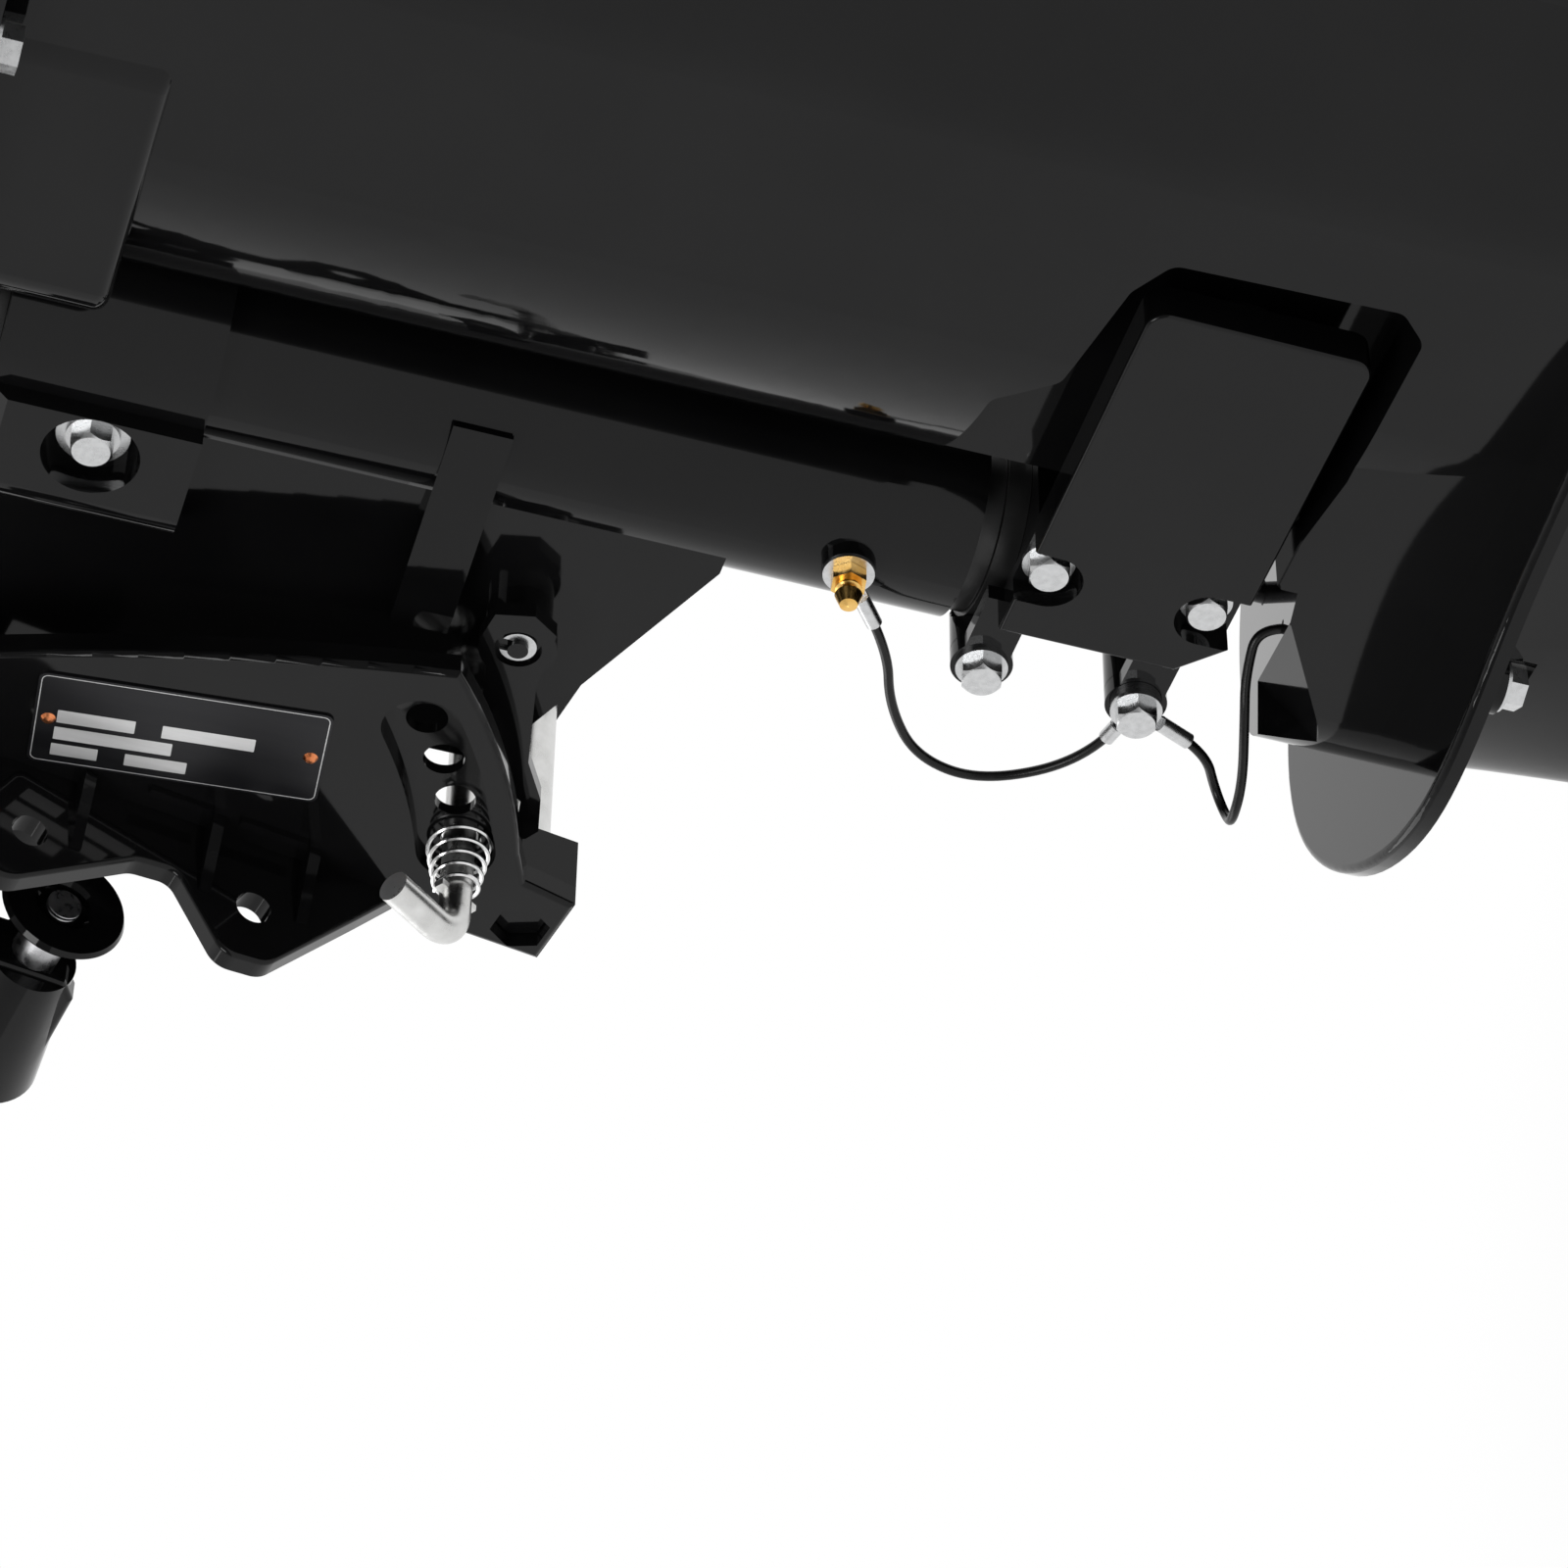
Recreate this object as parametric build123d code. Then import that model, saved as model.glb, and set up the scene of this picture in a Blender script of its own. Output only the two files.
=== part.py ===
from build123d import *
import math
import os

# Short-shaft outboard motor. Millimetres, +X port, +Y aft, +Z up.
# Origin: middle of the transom's top edge, on its aft face. The leg stands upright.

# Clearances
SLIP = 0.15          # radial gap of a turning or sliding fit
SEAT = 0.3           # gap between pieces that lie against each other
BOLT_GAP = 0.25      # radial gap round a bolt shank

# Transom and clamp brackets
RAKE = 10.0          # lean of the transom, degrees
PLATE_X = 70.0       # outer face of each bracket's side plate
PLATE_T = 9.0
TILT_Y = -62.0       # tilt axis, measured in the transom's own frame
TILT_Z = 35.0
RIM_R = 234.0        # aft rim of the bracket, about the tilt axis
HOLE_R = 214.0       # trim pin holes, about the tilt axis
HOLE_D = 14.0
HOLE_FIRST = 27.6    # degrees from straight down
HOLE_STEP = 5.35
HOLE_COUNT = 4
CHANNEL_IN = 199.0
CHANNEL_OUT = 226.0
CHANNEL_DEPTH = 5.0
BRACKET_END = -201.0
BLOCK_IN = 40.0      # inner face of the foot block
FLANGE_T = 8.0
TRANSOM_HOLE_X = 98.0
TRANSOM_HOLE_Z = (-14.0, -94.0)
TRANSOM_HOLE_D = 12.5
LOBE_REACH = 23.5     # from a transom hole to the edge of its lobe
HOOK_IN = 50.0
CROSS_Y = 11.7       # cross bolt, in the transom's frame
CROSS_Z = -189.0
CROSS_BOLT_D = 10.0
CROSS_HEAD_AF = 17.0
CROSS_HEAD_T = 6.4
CROSS_POCKET = 12.0
SPACER_D = 17.4

# Clamp screws
SCREW_X = 60.0
SCREW_Z = -50.0
SCREW_D = 17.2
SCREW_OPEN = 60.0    # pad face to transom face at rest
SCREW_LENGTH = 146.0
PAD_D = 45.0
PAD_T = 9.0
BOSS_NEAR = 90.0
BOSS_FAR = 146.0
BOSS_NEAR_R = 16.0
BOSS_FAR_R = 24.0
HANDLE_LENGTH = 74.0

# Tilt tube
TUBE_D = 22.0
TUBE_BORE = 16.0
TUBE_NUT_AF = 32.0
TUBE_NUT_T = 10.0
TILT_BOSS_R = 22.0
TILT_BOSS_IN = 44.0
TILT_BOSS_OUT = 74.0
TILT_BUSH_T = 2.0

# Trim pin
PIN_D = 11.2
PIN_BEND_X = 109.0
PIN_END_X = -76.0
PIN_ARM = 32.0
PIN_ARM_TURN = 27.6   # degrees aft of straight up
SPRING_WIRE = 1.5
SPRING_WIDE = 22.0
SPRING_NARROW = 14.2
SPRING_TURNS = 4.5

# Swivel bracket
STEER_Y = 144.0
SWIVEL_R = 32.5
SWIVEL_END = -292.0
SWIVEL_TOP = 32.0
WEB_HALF = 30.0
WEB_WALL = 8.0
HEAD_HALF = 47.0
HEAD_FRONT = 96.0
HEAD_R = 40.0
HEAD_LOW = -37.0
HUB_R = 21.0
HUB_HALF = 42.0
BUSH_LENGTH = 40.0
BUSH_WALL = 3.7
FRICTION_Y = 128.0
FRICTION_Z = -4.0
NIPPLE_Z = -253.0
NIPPLE_BOSS_R = 9.0
NIPPLE_BOSS_X = 37.0
LOCK_Y = 88.0
LOCK_Z = -156.5
LOCK_X = 43.0
LOCK_T = 6.0
LOCK_PIN_D = 7.0
LOCK_RECESS = 2.4     # depth of the E-clip's round recess
LOCK_OPEN = 9.0      # degrees that the hook stands open at rest
SUPPORT_Y = 20.0
SUPPORT_Z = -60.0
SUPPORT_LENGTH = 78.0

# Steering shaft, yokes and lower mounts
SHAFT_D = 38.0
SHAFT_BORE = 20.0
YOKE_TOP = -306.8
YOKE_LOW = -372.0
YOKE_R = 30.0
ARM_IN = 36.0
ARM_OUT = 50.0
ARM_FRONT = 146.0
ARM_BACK = 292.0
ARM_TOP = -304.0
ARM_LOW = -379.0
EAR_FACE = 42.0
YOKE_CLEAR_R = 31.6
EAR_R = 10.5
NOTCH_FLOOR = 40.0
NOTCH_R = 11.0
MOUNT_BOLTS = ((121.5, -306.6), (172.0, -312.6), (120.0, -361.6), (171.0, -367.6))
M8 = 8.0
M8_AF = 13.0
M8_HEAD = 8.0
M8_FLANGE_R = 8.8
M8_FLANGE_T = 1.6
MOUNT_BOLT_LENGTHS = (16.0, 24.0, 24.0, 24.0)
RUBBER_R = 24.0
RUBBER_Y = 256.0
RUBBER_Z = -342.0
RUBBER_IN = 14.0
UPPER_YOKE_TOP = 70.0
CHEEK_IN = 18.0
CHEEK_OUT = 30.0
CHEEK_TOP = 104.0
TILLER_Y = 34.0
TILLER_Z = 90.0
PIVOT_D = 12.0
UPPER_MOUNT_X = 36.0
UPPER_MOUNT_Z = 50.0
UPPER_MOUNT_R = 17.0

# Leg
LEG_FRONT = 186.0
LEG_BACK = 425.0
LEG_HALF = 58.0
LEG_HALF_LOW = 50.0
LEG_TOP = 60.0
FLANGE_TOP = 70.0
LEG_LOW = -441.0
PLATE_LOW = -448.0
RECESS_FLOOR = 20.0
NOSE_FRONT = 100.0
NOSE_SHOULDER = 140.0
HEAD_BLOCK_HALF = 60.0
HEAD_BLOCK_FRONT = 193.0
HEAD_BLOCK_LOW = 5.0
DRIVE_Y = 214.0
DRIVE_D = 16.0
DRIVE_BORE = 30.0
EXHAUST_Y = 292.0
EXHAUST_R = 30.0

# Gearcase
PROP_Z = -575.0
GEARCASE_JOINT = PLATE_LOW
BULLET_R = 38.0
BULLET_FRONT = 66.0
BULLET_BACK = 346.0
CHAMBER_R = 32.0
CHAMBER_FRONT = 168.0
SKEG_LOW = -705.0
STRUT_FRONT = 90.0
STRUT_BACK = 346.0
PROP_SHAFT_D = 17.0
PROP_SHAFT_FRONT = 152.0
PROP_SHAFT_BACK = 446.0
PINION_R = 16.0
GEAR_RATIO = 13.0 / 24.0
PINION_TEETH = 13
GEAR_TEETH = 24
TOOTH_INNER = 0.68    # small end of the teeth, as a share of the cone
DOG_COUNT = 3
DOG_WIDTH = 28.0
DOG_RISE = 5.0
CLUTCH_HALF = 5.0
CLUTCH_R = 14.0
DOG_FACE = CLUTCH_HALF + 2 * DOG_RISE + 0.3     # face of each driven gear's claws
SHIFT_TRAVEL = 4.6
SHIFT_ROD_D = 7.5
SHIFT_SHAFT_D = 10.0
SHIFT_SHAFT_Y = 128.0
SHIFT_SHAFT_Z = 88.0
LEVER_X = -148.0
CRANK_BALL_R = 4.0
LEG_BOLTS = ((70, 222), (-70, 222), (70, 302), (-70, 302), (70, 376), (-70, 376))
GEARCASE_BOLTS = ((36, 160), (-36, 160), (27, 300), (-27, 300))
BOLT_PAD_Z = -476.0

# Propeller
PROP_R = 117.0
PROP_HUB_R = 34.0
PROP_BORE_R = 27.0
PROP_FRONT = 350.0
PROP_BACK = 424.0
PROP_PITCH = 254.0
BLADE_COUNT = 3

# Powerhead and cowls
COWL_LOW = 112.0
COWL_SPLIT = 190.0
COWL_TOP = 398.0
COWL_FRONT = 62.0
COWL_BACK = 465.0
COWL_HALF = 136.0
COWL_WALL = 4.0
COWL_R = 72.0
FLOOR_T = 5.0
BLOCK_TOP = 296.0
CONTROL_X = (-74.0, -36.0)
CONTROL_Z = 158.0
LATCH_Y = COWL_BACK + 8
LATCH_Z = COWL_SPLIT - 14
LATCH_PIN_R = 3.0
FLYWHEEL_R = 100.0
HOLDER_HALF = 72.0

# Tiller
TILLER_LENGTH = 330.0
GRIP_LENGTH = 120.0
GRIP_R = 17.5

# Bonding wires
WIRE_D = 3.4
TERMINAL_T = 1.05
CRIMP_X = 0.9
SWIVEL_TOWARD = (-0.78, -0.62)
YOKE_TOWARD = ((-0.97, 0.24), (-0.394, -0.919))

# Phase of each driven gear's claws to the clutch's, degrees
FORWARD_PHASE = 78.75
REVERSE_PHASE = 69.4


# Shapes used by many pieces
def span(x0, x1, y0, y1, z0, z1):
    block = Box(x1 - x0, y1 - y0, z1 - z0)
    return Pos((x0 + x1) / 2, (y0 + y1) / 2, (z0 + z1) / 2) * block


def rod_x(radius, x0, x1, y, z):
    return Pos((x0 + x1) / 2, y, z) * Rot(0, 90, 0) * Cylinder(radius, x1 - x0)


def rod_y(radius, y0, y1, x, z):
    return Pos(x, (y0 + y1) / 2, z) * Rot(90, 0, 0) * Cylinder(radius, y1 - y0)


def rod_z(radius, z0, z1, x, y):
    return Pos(x, y, (z0 + z1) / 2) * Cylinder(radius, z1 - z0)


def side_prism(points, x0, x1):
    face = Plane.YZ * make_face(Polyline(*points, close=True))
    return Pos(x0, 0, 0) * extrude(face, amount=x1 - x0, dir=(1, 0, 0))


def side_face(*edges):
    return Plane.YZ * make_face(Curve() + list(edges))


def hex_x(across, x0, x1, y, z, turn=0):
    face = Plane.YZ * Rot(0, 0, turn) * RegularPolygon(across / 2, 6, major_radius=False)
    return Pos(x0, y, z) * extrude(face, amount=x1 - x0, dir=(1, 0, 0))


def hex_z(across, z0, z1, x, y):
    face = RegularPolygon(across / 2, 6, major_radius=False)
    return Pos(x, y, z0) * extrude(face, amount=z1 - z0)


def turned_y(points, x, z):
    # A body of revolution about a fore-and-aft axis; points are (along Y, radius)
    face = make_face(Polyline(*[(r, y) for y, r in points], close=True))
    return Pos(x, 0, z) * revolve(face, Axis.Y, 360)


def turned_z(points, x, y):
    # A body of revolution about an upright axis; points are (height, radius)
    face = Plane.XZ * make_face(Polyline(*[(r, z) for z, r in points], close=True))
    return Pos(x, y, 0) * revolve(face, Axis.Z, 360)


def about_tilt(radius, angle):
    # A point of the transom frame at this radius from the tilt axis, angle from straight down
    a = math.radians(angle)
    return (TILT_Y + radius * math.sin(a), TILT_Z - radius * math.cos(a))


def upright(shape):
    # From the transom's frame to the motor's frame
    return Rot(-RAKE, 0, 0) * shape


def row_point(y, z):
    a = math.radians(RAKE)
    return (y * math.cos(a) + z * math.sin(a), -y * math.sin(a) + z * math.cos(a))


def starboard(shape):
    return mirror(shape, about=Plane.YZ)


def foil(front, back, half, shoulder, tail_start, tail_r, z):
    # A streamlined level section: elliptical nose, straight sides, tapering tail
    nose = EllipticalCenterArc((0, shoulder), half, shoulder - front, 180, arc_size=180)
    tail_y = back - tail_r
    port = Spline((half, tail_start), (tail_r, tail_y), tangents=[(0, 1), (-0.5, 1)])
    end = ThreePointArc((tail_r, tail_y), (0, back), (-tail_r, tail_y))
    star = Spline((-tail_r, tail_y), (-half, tail_start), tangents=[(-0.5, -1), (0, -1)])
    right = Line((half, shoulder), (half, tail_start))
    left = Line((-half, tail_start), (-half, shoulder))
    return Pos(0, 0, z) * make_face(Curve() + [nose, right, port, end, star, left])


def flange_bolt_x(seat, y, z, length):
    # M8 flange bolt with its head on the outboard side
    head = hex_x(M8_AF, seat, seat + M8_HEAD, y, z, 15)
    crown = Pos(seat + M8_HEAD / 2, y, z) * Rot(0, 90, 0) * Cone(M8_AF, 0.48 * M8_AF, M8_HEAD)
    flange = rod_x(M8_FLANGE_R, seat, seat + M8_FLANGE_T, y, z)
    return (head & crown) + flange + rod_x(M8 / 2, seat - length, seat + 1, y, z)


TILT_ROW = row_point(TILT_Y, TILT_Z)
PIN_SHIFT = (HOLE_D - PIN_D) / 2 - SLIP
PIN_LOCAL = (about_tilt(HOLE_R, HOLE_FIRST)[0] - PIN_SHIFT, about_tilt(HOLE_R, HOLE_FIRST)[1])
PIN_ROW = row_point(*PIN_LOCAL)


# Clamp brackets
def bracket_profile():
    rim_low = about_tilt(RIM_R, 27.0)
    rim_mid = about_tilt(RIM_R, 38.0)
    rim_high = about_tilt(RIM_R, 48.8)
    foot = Polyline((0, 0), (0, BRACKET_END), (30.4, BRACKET_END), (33, BRACKET_END + 20), rim_low)
    rim = ThreePointArc(rim_low, rim_mid, rim_high)
    back = ThreePointArc(rim_high, (86, -48), (52.6, 17.2))
    top = Polyline((52.6, 17.2), (38, 40), (-50, 60), (-80, 54), (-128, 22), (-151, -22))
    front = ThreePointArc((-151, -22), (-157, -50), (-146, -70))
    jaw = Polyline((-146, -70), (-96, -68), (-88, -62), (-88, -24), (-66, 0), (0, 0))
    return side_face(foot, rim, back, top, front, jaw)


def bracket_channel():
    start, end = HOLE_FIRST, HOLE_FIRST + (HOLE_COUNT - 1) * HOLE_STEP
    inner = ThreePointArc(*[about_tilt(CHANNEL_IN, a) for a in (start, (start + end) / 2, end)])
    outer = ThreePointArc(*[about_tilt(CHANNEL_OUT, a) for a in (end, (start + end) / 2, start)])
    low = Line(about_tilt(CHANNEL_OUT, start), about_tilt(CHANNEL_IN, start))
    high = Line(about_tilt(CHANNEL_IN, end), about_tilt(CHANNEL_OUT, end))
    face = side_face(inner, high, outer, low)
    channel = Pos(PLATE_X - CHANNEL_DEPTH, 0, 0) * extrude(face, amount=20, dir=(1, 0, 0))
    for angle in (start, end):
        y, z = about_tilt((CHANNEL_IN + CHANNEL_OUT) / 2, angle)
        channel += rod_x((CHANNEL_OUT - CHANNEL_IN) / 2, PLATE_X - CHANNEL_DEPTH, PLATE_X + 15, y, z)
    return channel


def transom_flange():
    # The lobed flange that lies on the transom, with its three gussets and the bead between them
    tip = TRANSOM_HOLE_X + LOBE_REACH
    waist = TRANSOM_HOLE_X - 5
    high, low = TRANSOM_HOLE_Z
    outline = FilletPolyline(
        (PLATE_X - 8, high + 26), (tip - 6, high + 26), (tip, high + 5), (waist + 1, high - 38),
        (waist, low + 28), (tip, low + 9), (tip - 1, low - 7), (PLATE_X + 16, low - 38), (PLATE_X, low - 52),
        radius=(8, 12, 9, 7, 9, 9, 9),
    )
    close = Polyline((PLATE_X, low - 52), (PLATE_X - 8, low - 52), (PLATE_X - 8, high + 26))
    flange = extrude(Plane.XZ * make_face(Curve() + [outline, close]), amount=FLANGE_T, dir=(0, 1, 0))
    edges = [e for e in flange.edges().group_by(Axis.Y)[-1] if e.center().X > PLATE_X + 10]
    flange = fillet(edges, 1.6)
    for z, reach in ((-30, 29), (-76, 28), (-111, 28)):
        outline = Polyline(
            (PLATE_X - 2, FLANGE_T - 2), (PLATE_X + reach, FLANGE_T - 2), (PLATE_X + reach, FLANGE_T + 1),
            (PLATE_X + 3, FLANGE_T + 8), (PLATE_X - 2, FLANGE_T + 8), close=True,
        )
        flange += Pos(0, 0, z - 2) * extrude(make_face(outline), amount=4)
    for z0, z1 in ((-72, -50), (-107, -83)):
        flange += span(PLATE_X - 1, PLATE_X + 2.4, 16, 19, z0, z1)
    return flange


def clamp_bracket():
    plate = Pos(PLATE_X - PLATE_T, 0, 0) * extrude(bracket_profile(), amount=PLATE_T, dir=(1, 0, 0))
    plate = fillet(plate.edges().group_by(Axis.X)[-1], 2)
    body = plate + transom_flange()
    # Hook over the transom, thicker than the plate
    hook = [(0, 2), (-66, 0), (-88, -24), (-88, -60), (-140, -62)]
    hook += [(-148, -22), (-124, 20), (-80, 50), (-50, 52), (10, 20)]
    body += side_prism(hook, HOOK_IN, PLATE_X - 2)
    body += rod_x(TILT_BOSS_R, TILT_BOSS_IN, TILT_BOSS_OUT, TILT_Y, TILT_Z)
    # Tapered boss of the clamp screw
    profile = [(-BOSS_FAR, 0), (-BOSS_FAR, BOSS_FAR_R), (-BOSS_NEAR, BOSS_NEAR_R), (-BOSS_NEAR, 0)]
    boss = turned_y(profile, SCREW_X, SCREW_Z)
    body += boss
    # Foot block with the cross bolt
    foot = [(0, BRACKET_END), (30.4, BRACKET_END), (30.4, -180), (20, -168), (0, -168)]
    body += side_prism(foot, BLOCK_IN, PLATE_X - 1)
    # Openings and bores
    body -= bracket_channel()
    for i in range(HOLE_COUNT):
        y, z = about_tilt(HOLE_R, HOLE_FIRST + i * HOLE_STEP)
        body -= rod_x(HOLE_D / 2, BLOCK_IN, PLATE_X + 5, y, z)
    for z in TRANSOM_HOLE_Z:
        body -= rod_y(TRANSOM_HOLE_D / 2, -1, FLANGE_T + 1, TRANSOM_HOLE_X, z)
    body -= rod_x(TUBE_D / 2 + SLIP, TILT_BOSS_IN - 1, TILT_BOSS_OUT + 1, TILT_Y, TILT_Z)
    body -= rod_y(SCREW_D / 2 + SLIP, -BOSS_FAR - 20, -BOSS_NEAR + 5, SCREW_X, SCREW_Z)
    body -= rod_x(CROSS_BOLT_D / 2 + BOLT_GAP, BLOCK_IN - 1, PLATE_X, CROSS_Y, CROSS_Z)
    body -= hex_x(CROSS_HEAD_AF + 1, PLATE_X - CROSS_POCKET, PLATE_X + 1, CROSS_Y, CROSS_Z)
    body -= rod_x(SPACER_D / 2 + SLIP, BLOCK_IN - 1, BLOCK_IN + 4, CROSS_Y, CROSS_Z)
    return upright(body)


def name_plate():
    plate = Box(0.8, 42, 97)
    plate = fillet(plate.edges().filter_by(Axis.X), 3)
    spot = Pos(PLATE_X + 0.4, 44.4, -49.5) * Rot(15.4, 0, 0)
    holes = rod_x(1.5, -2, 2, 0, 43.5) + rod_x(1.5, -2, 2, 0, -43.5)
    return upright(spot * (plate - holes))


def plate_rivets():
    spot = Pos(PLATE_X + 0.8, 44.4, -49.5) * Rot(15.4, 0, 0)
    profile = Polyline((0, 0), (2.5, 0), (1.6, 1.0), (0, 1.3), close=True)
    head = Rot(0, 90, 0) * revolve(Plane.XZ * make_face(profile), Axis.Z, 360)
    pair = Pos(0, 0, 43.5) * head + Pos(0, 0, -43.5) * head
    return upright(spot * pair)


def tilt_tube():
    half = TILT_BOSS_OUT + TUBE_NUT_T + 4
    tube = rod_x(TUBE_D / 2, -half, half, TILT_Y, TILT_Z)
    tube -= rod_x(TUBE_BORE / 2, -half - 1, half + 1, TILT_Y, TILT_Z)
    return upright(tube)


def tilt_tube_nuts():
    inner = TILT_BOSS_OUT
    nut = hex_x(TUBE_NUT_AF, inner, inner + TUBE_NUT_T, TILT_Y, TILT_Z)
    nut -= rod_x(TUBE_D / 2 + SLIP, inner - 1, inner + TUBE_NUT_T + 1, TILT_Y, TILT_Z)
    return upright(nut + starboard(nut))


def spacer_tube():
    end = BLOCK_IN + 4
    tube = rod_x(SPACER_D / 2, -end, end, CROSS_Y, CROSS_Z)
    return upright(tube - rod_x(CROSS_BOLT_D / 2 + BOLT_GAP, -end - 1, end + 1, CROSS_Y, CROSS_Z))


def cross_bolt():
    seat = PLATE_X - CROSS_POCKET
    bolt = hex_x(CROSS_HEAD_AF, seat, seat + CROSS_HEAD_T, CROSS_Y, CROSS_Z)
    return upright(bolt + rod_x(CROSS_BOLT_D / 2, -seat - CROSS_HEAD_T - 2, seat, CROSS_Y, CROSS_Z))


def cross_nut():
    seat = PLATE_X - CROSS_POCKET
    nut = hex_x(CROSS_HEAD_AF, -seat - CROSS_HEAD_T, -seat, CROSS_Y, CROSS_Z)
    return upright(nut - rod_x(CROSS_BOLT_D / 2 + 0.05, -PLATE_X, -seat + 1, CROSS_Y, CROSS_Z))


# Clamp screws
def clamp_pad():
    face = -SCREW_OPEN
    points = [
        (face, 11), (face, PAD_D / 2 - 1), (face - 2, PAD_D / 2), (face - 3.5, PAD_D / 2 - 1),
        (face - 4.5, 13),
        (face - PAD_T, 11), (face - PAD_T, SCREW_D / 4 + 0.2 + SLIP),
        (face - 3, SCREW_D / 4 + 0.2 + SLIP), (face - 3, 9),
    ]
    return upright(turned_y(points, SCREW_X, SCREW_Z))


def clamp_screw():
    neck = SCREW_D / 4 + 0.2
    start = -SCREW_OPEN - 0.6
    collar = -SCREW_OPEN - PAD_T - SEAT
    end = collar - SCREW_LENGTH
    points = [
        (start, 0), (start, neck + 1.6), (start - 2.1, neck + 1.6), (start - 2.1, neck), (collar, neck),
        (collar, SCREW_D / 2), (end, SCREW_D / 2), (end, 0),
    ]
    screw = turned_y(points, SCREW_X, SCREW_Z)
    hub = end + 16
    screw += rod_y(13, end - 2, hub, SCREW_X, SCREW_Z)
    # Cast handle: a flat bar that swells towards its rounded ends
    half = HANDLE_LENGTH / 2
    corners = [(-5, -8), (half - 8, -9.5), (half - 2, -5), (half - 2, 5), (half - 8, 9.5), (-5, 8)]
    right = Polyline(*corners, close=True)
    wing = extrude(Plane.ZX * make_face(right), amount=9)
    wing = fillet(wing.edges().filter_by(Axis.Y), 2.5)
    wings = wing + Rot(0, 180, 0) * wing
    screw += Pos(SCREW_X, end + 1, SCREW_Z) * Rot(0, 60, 0) * wings
    return upright(screw)


# Trim pin
def trim_pin():
    y, z = PIN_LOCAL
    a = math.radians(PIN_ARM_TURN)
    tip = (PIN_BEND_X, y + PIN_ARM * math.sin(a), z + PIN_ARM * math.cos(a))
    path = FilletPolyline((PIN_END_X, y, z), (PIN_BEND_X, y, z), tip, radius=11)
    section = Plane(origin=(PIN_END_X, y, z), z_dir=(1, 0, 0)) * Circle(PIN_D / 2)
    pin = sweep(section, path=path)
    # Swaged ears that hold the spring's narrow end
    ear = Box(2.4, 3.6, PIN_D + 6)
    pin += Pos(PLATE_X + 19.5, y, z) * Rot(-25, 0, 0) * ear
    return upright(pin)


def pin_spring():
    y, z = PIN_LOCAL
    start = PLATE_X - CHANNEL_DEPTH + SPRING_WIRE / 2 + 0.1
    length = PLATE_X + 18.0 - SPRING_WIRE / 2 - start
    cone = math.degrees(math.atan2(SPRING_WIDE / 2 - SPRING_NARROW / 2, length))
    helix = Helix(length / SPRING_TURNS, length, SPRING_WIDE / 2, cone_angle=-cone)
    section = Plane(origin=helix @ 0, z_dir=helix % 0) * RegularPolygon(SPRING_WIRE / 2, 6)
    coil = sweep(section, path=helix, is_frenet=True)
    return upright(Pos(start, y, z) * Rot(0, 90, 0) * coil)


# Swivel bracket
def swivel_web():
    y, z = TILT_ROW
    pin_face = PIN_ROW[0] + PIN_D / 2 + SEAT
    points = [
        (pin_face, -138), (pin_face, PIN_ROW[1] - 7), (30, -172), (124, -214.8),
        (STEER_Y, -214.8), (STEER_Y, 28),
        (112, 28), (y + 12, z + HUB_R - 3), (y - HUB_R + 3, z + 4), (y - 6, z - HUB_R + 1),
        (-10, 8), (4, -60),
    ]
    return points


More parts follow.
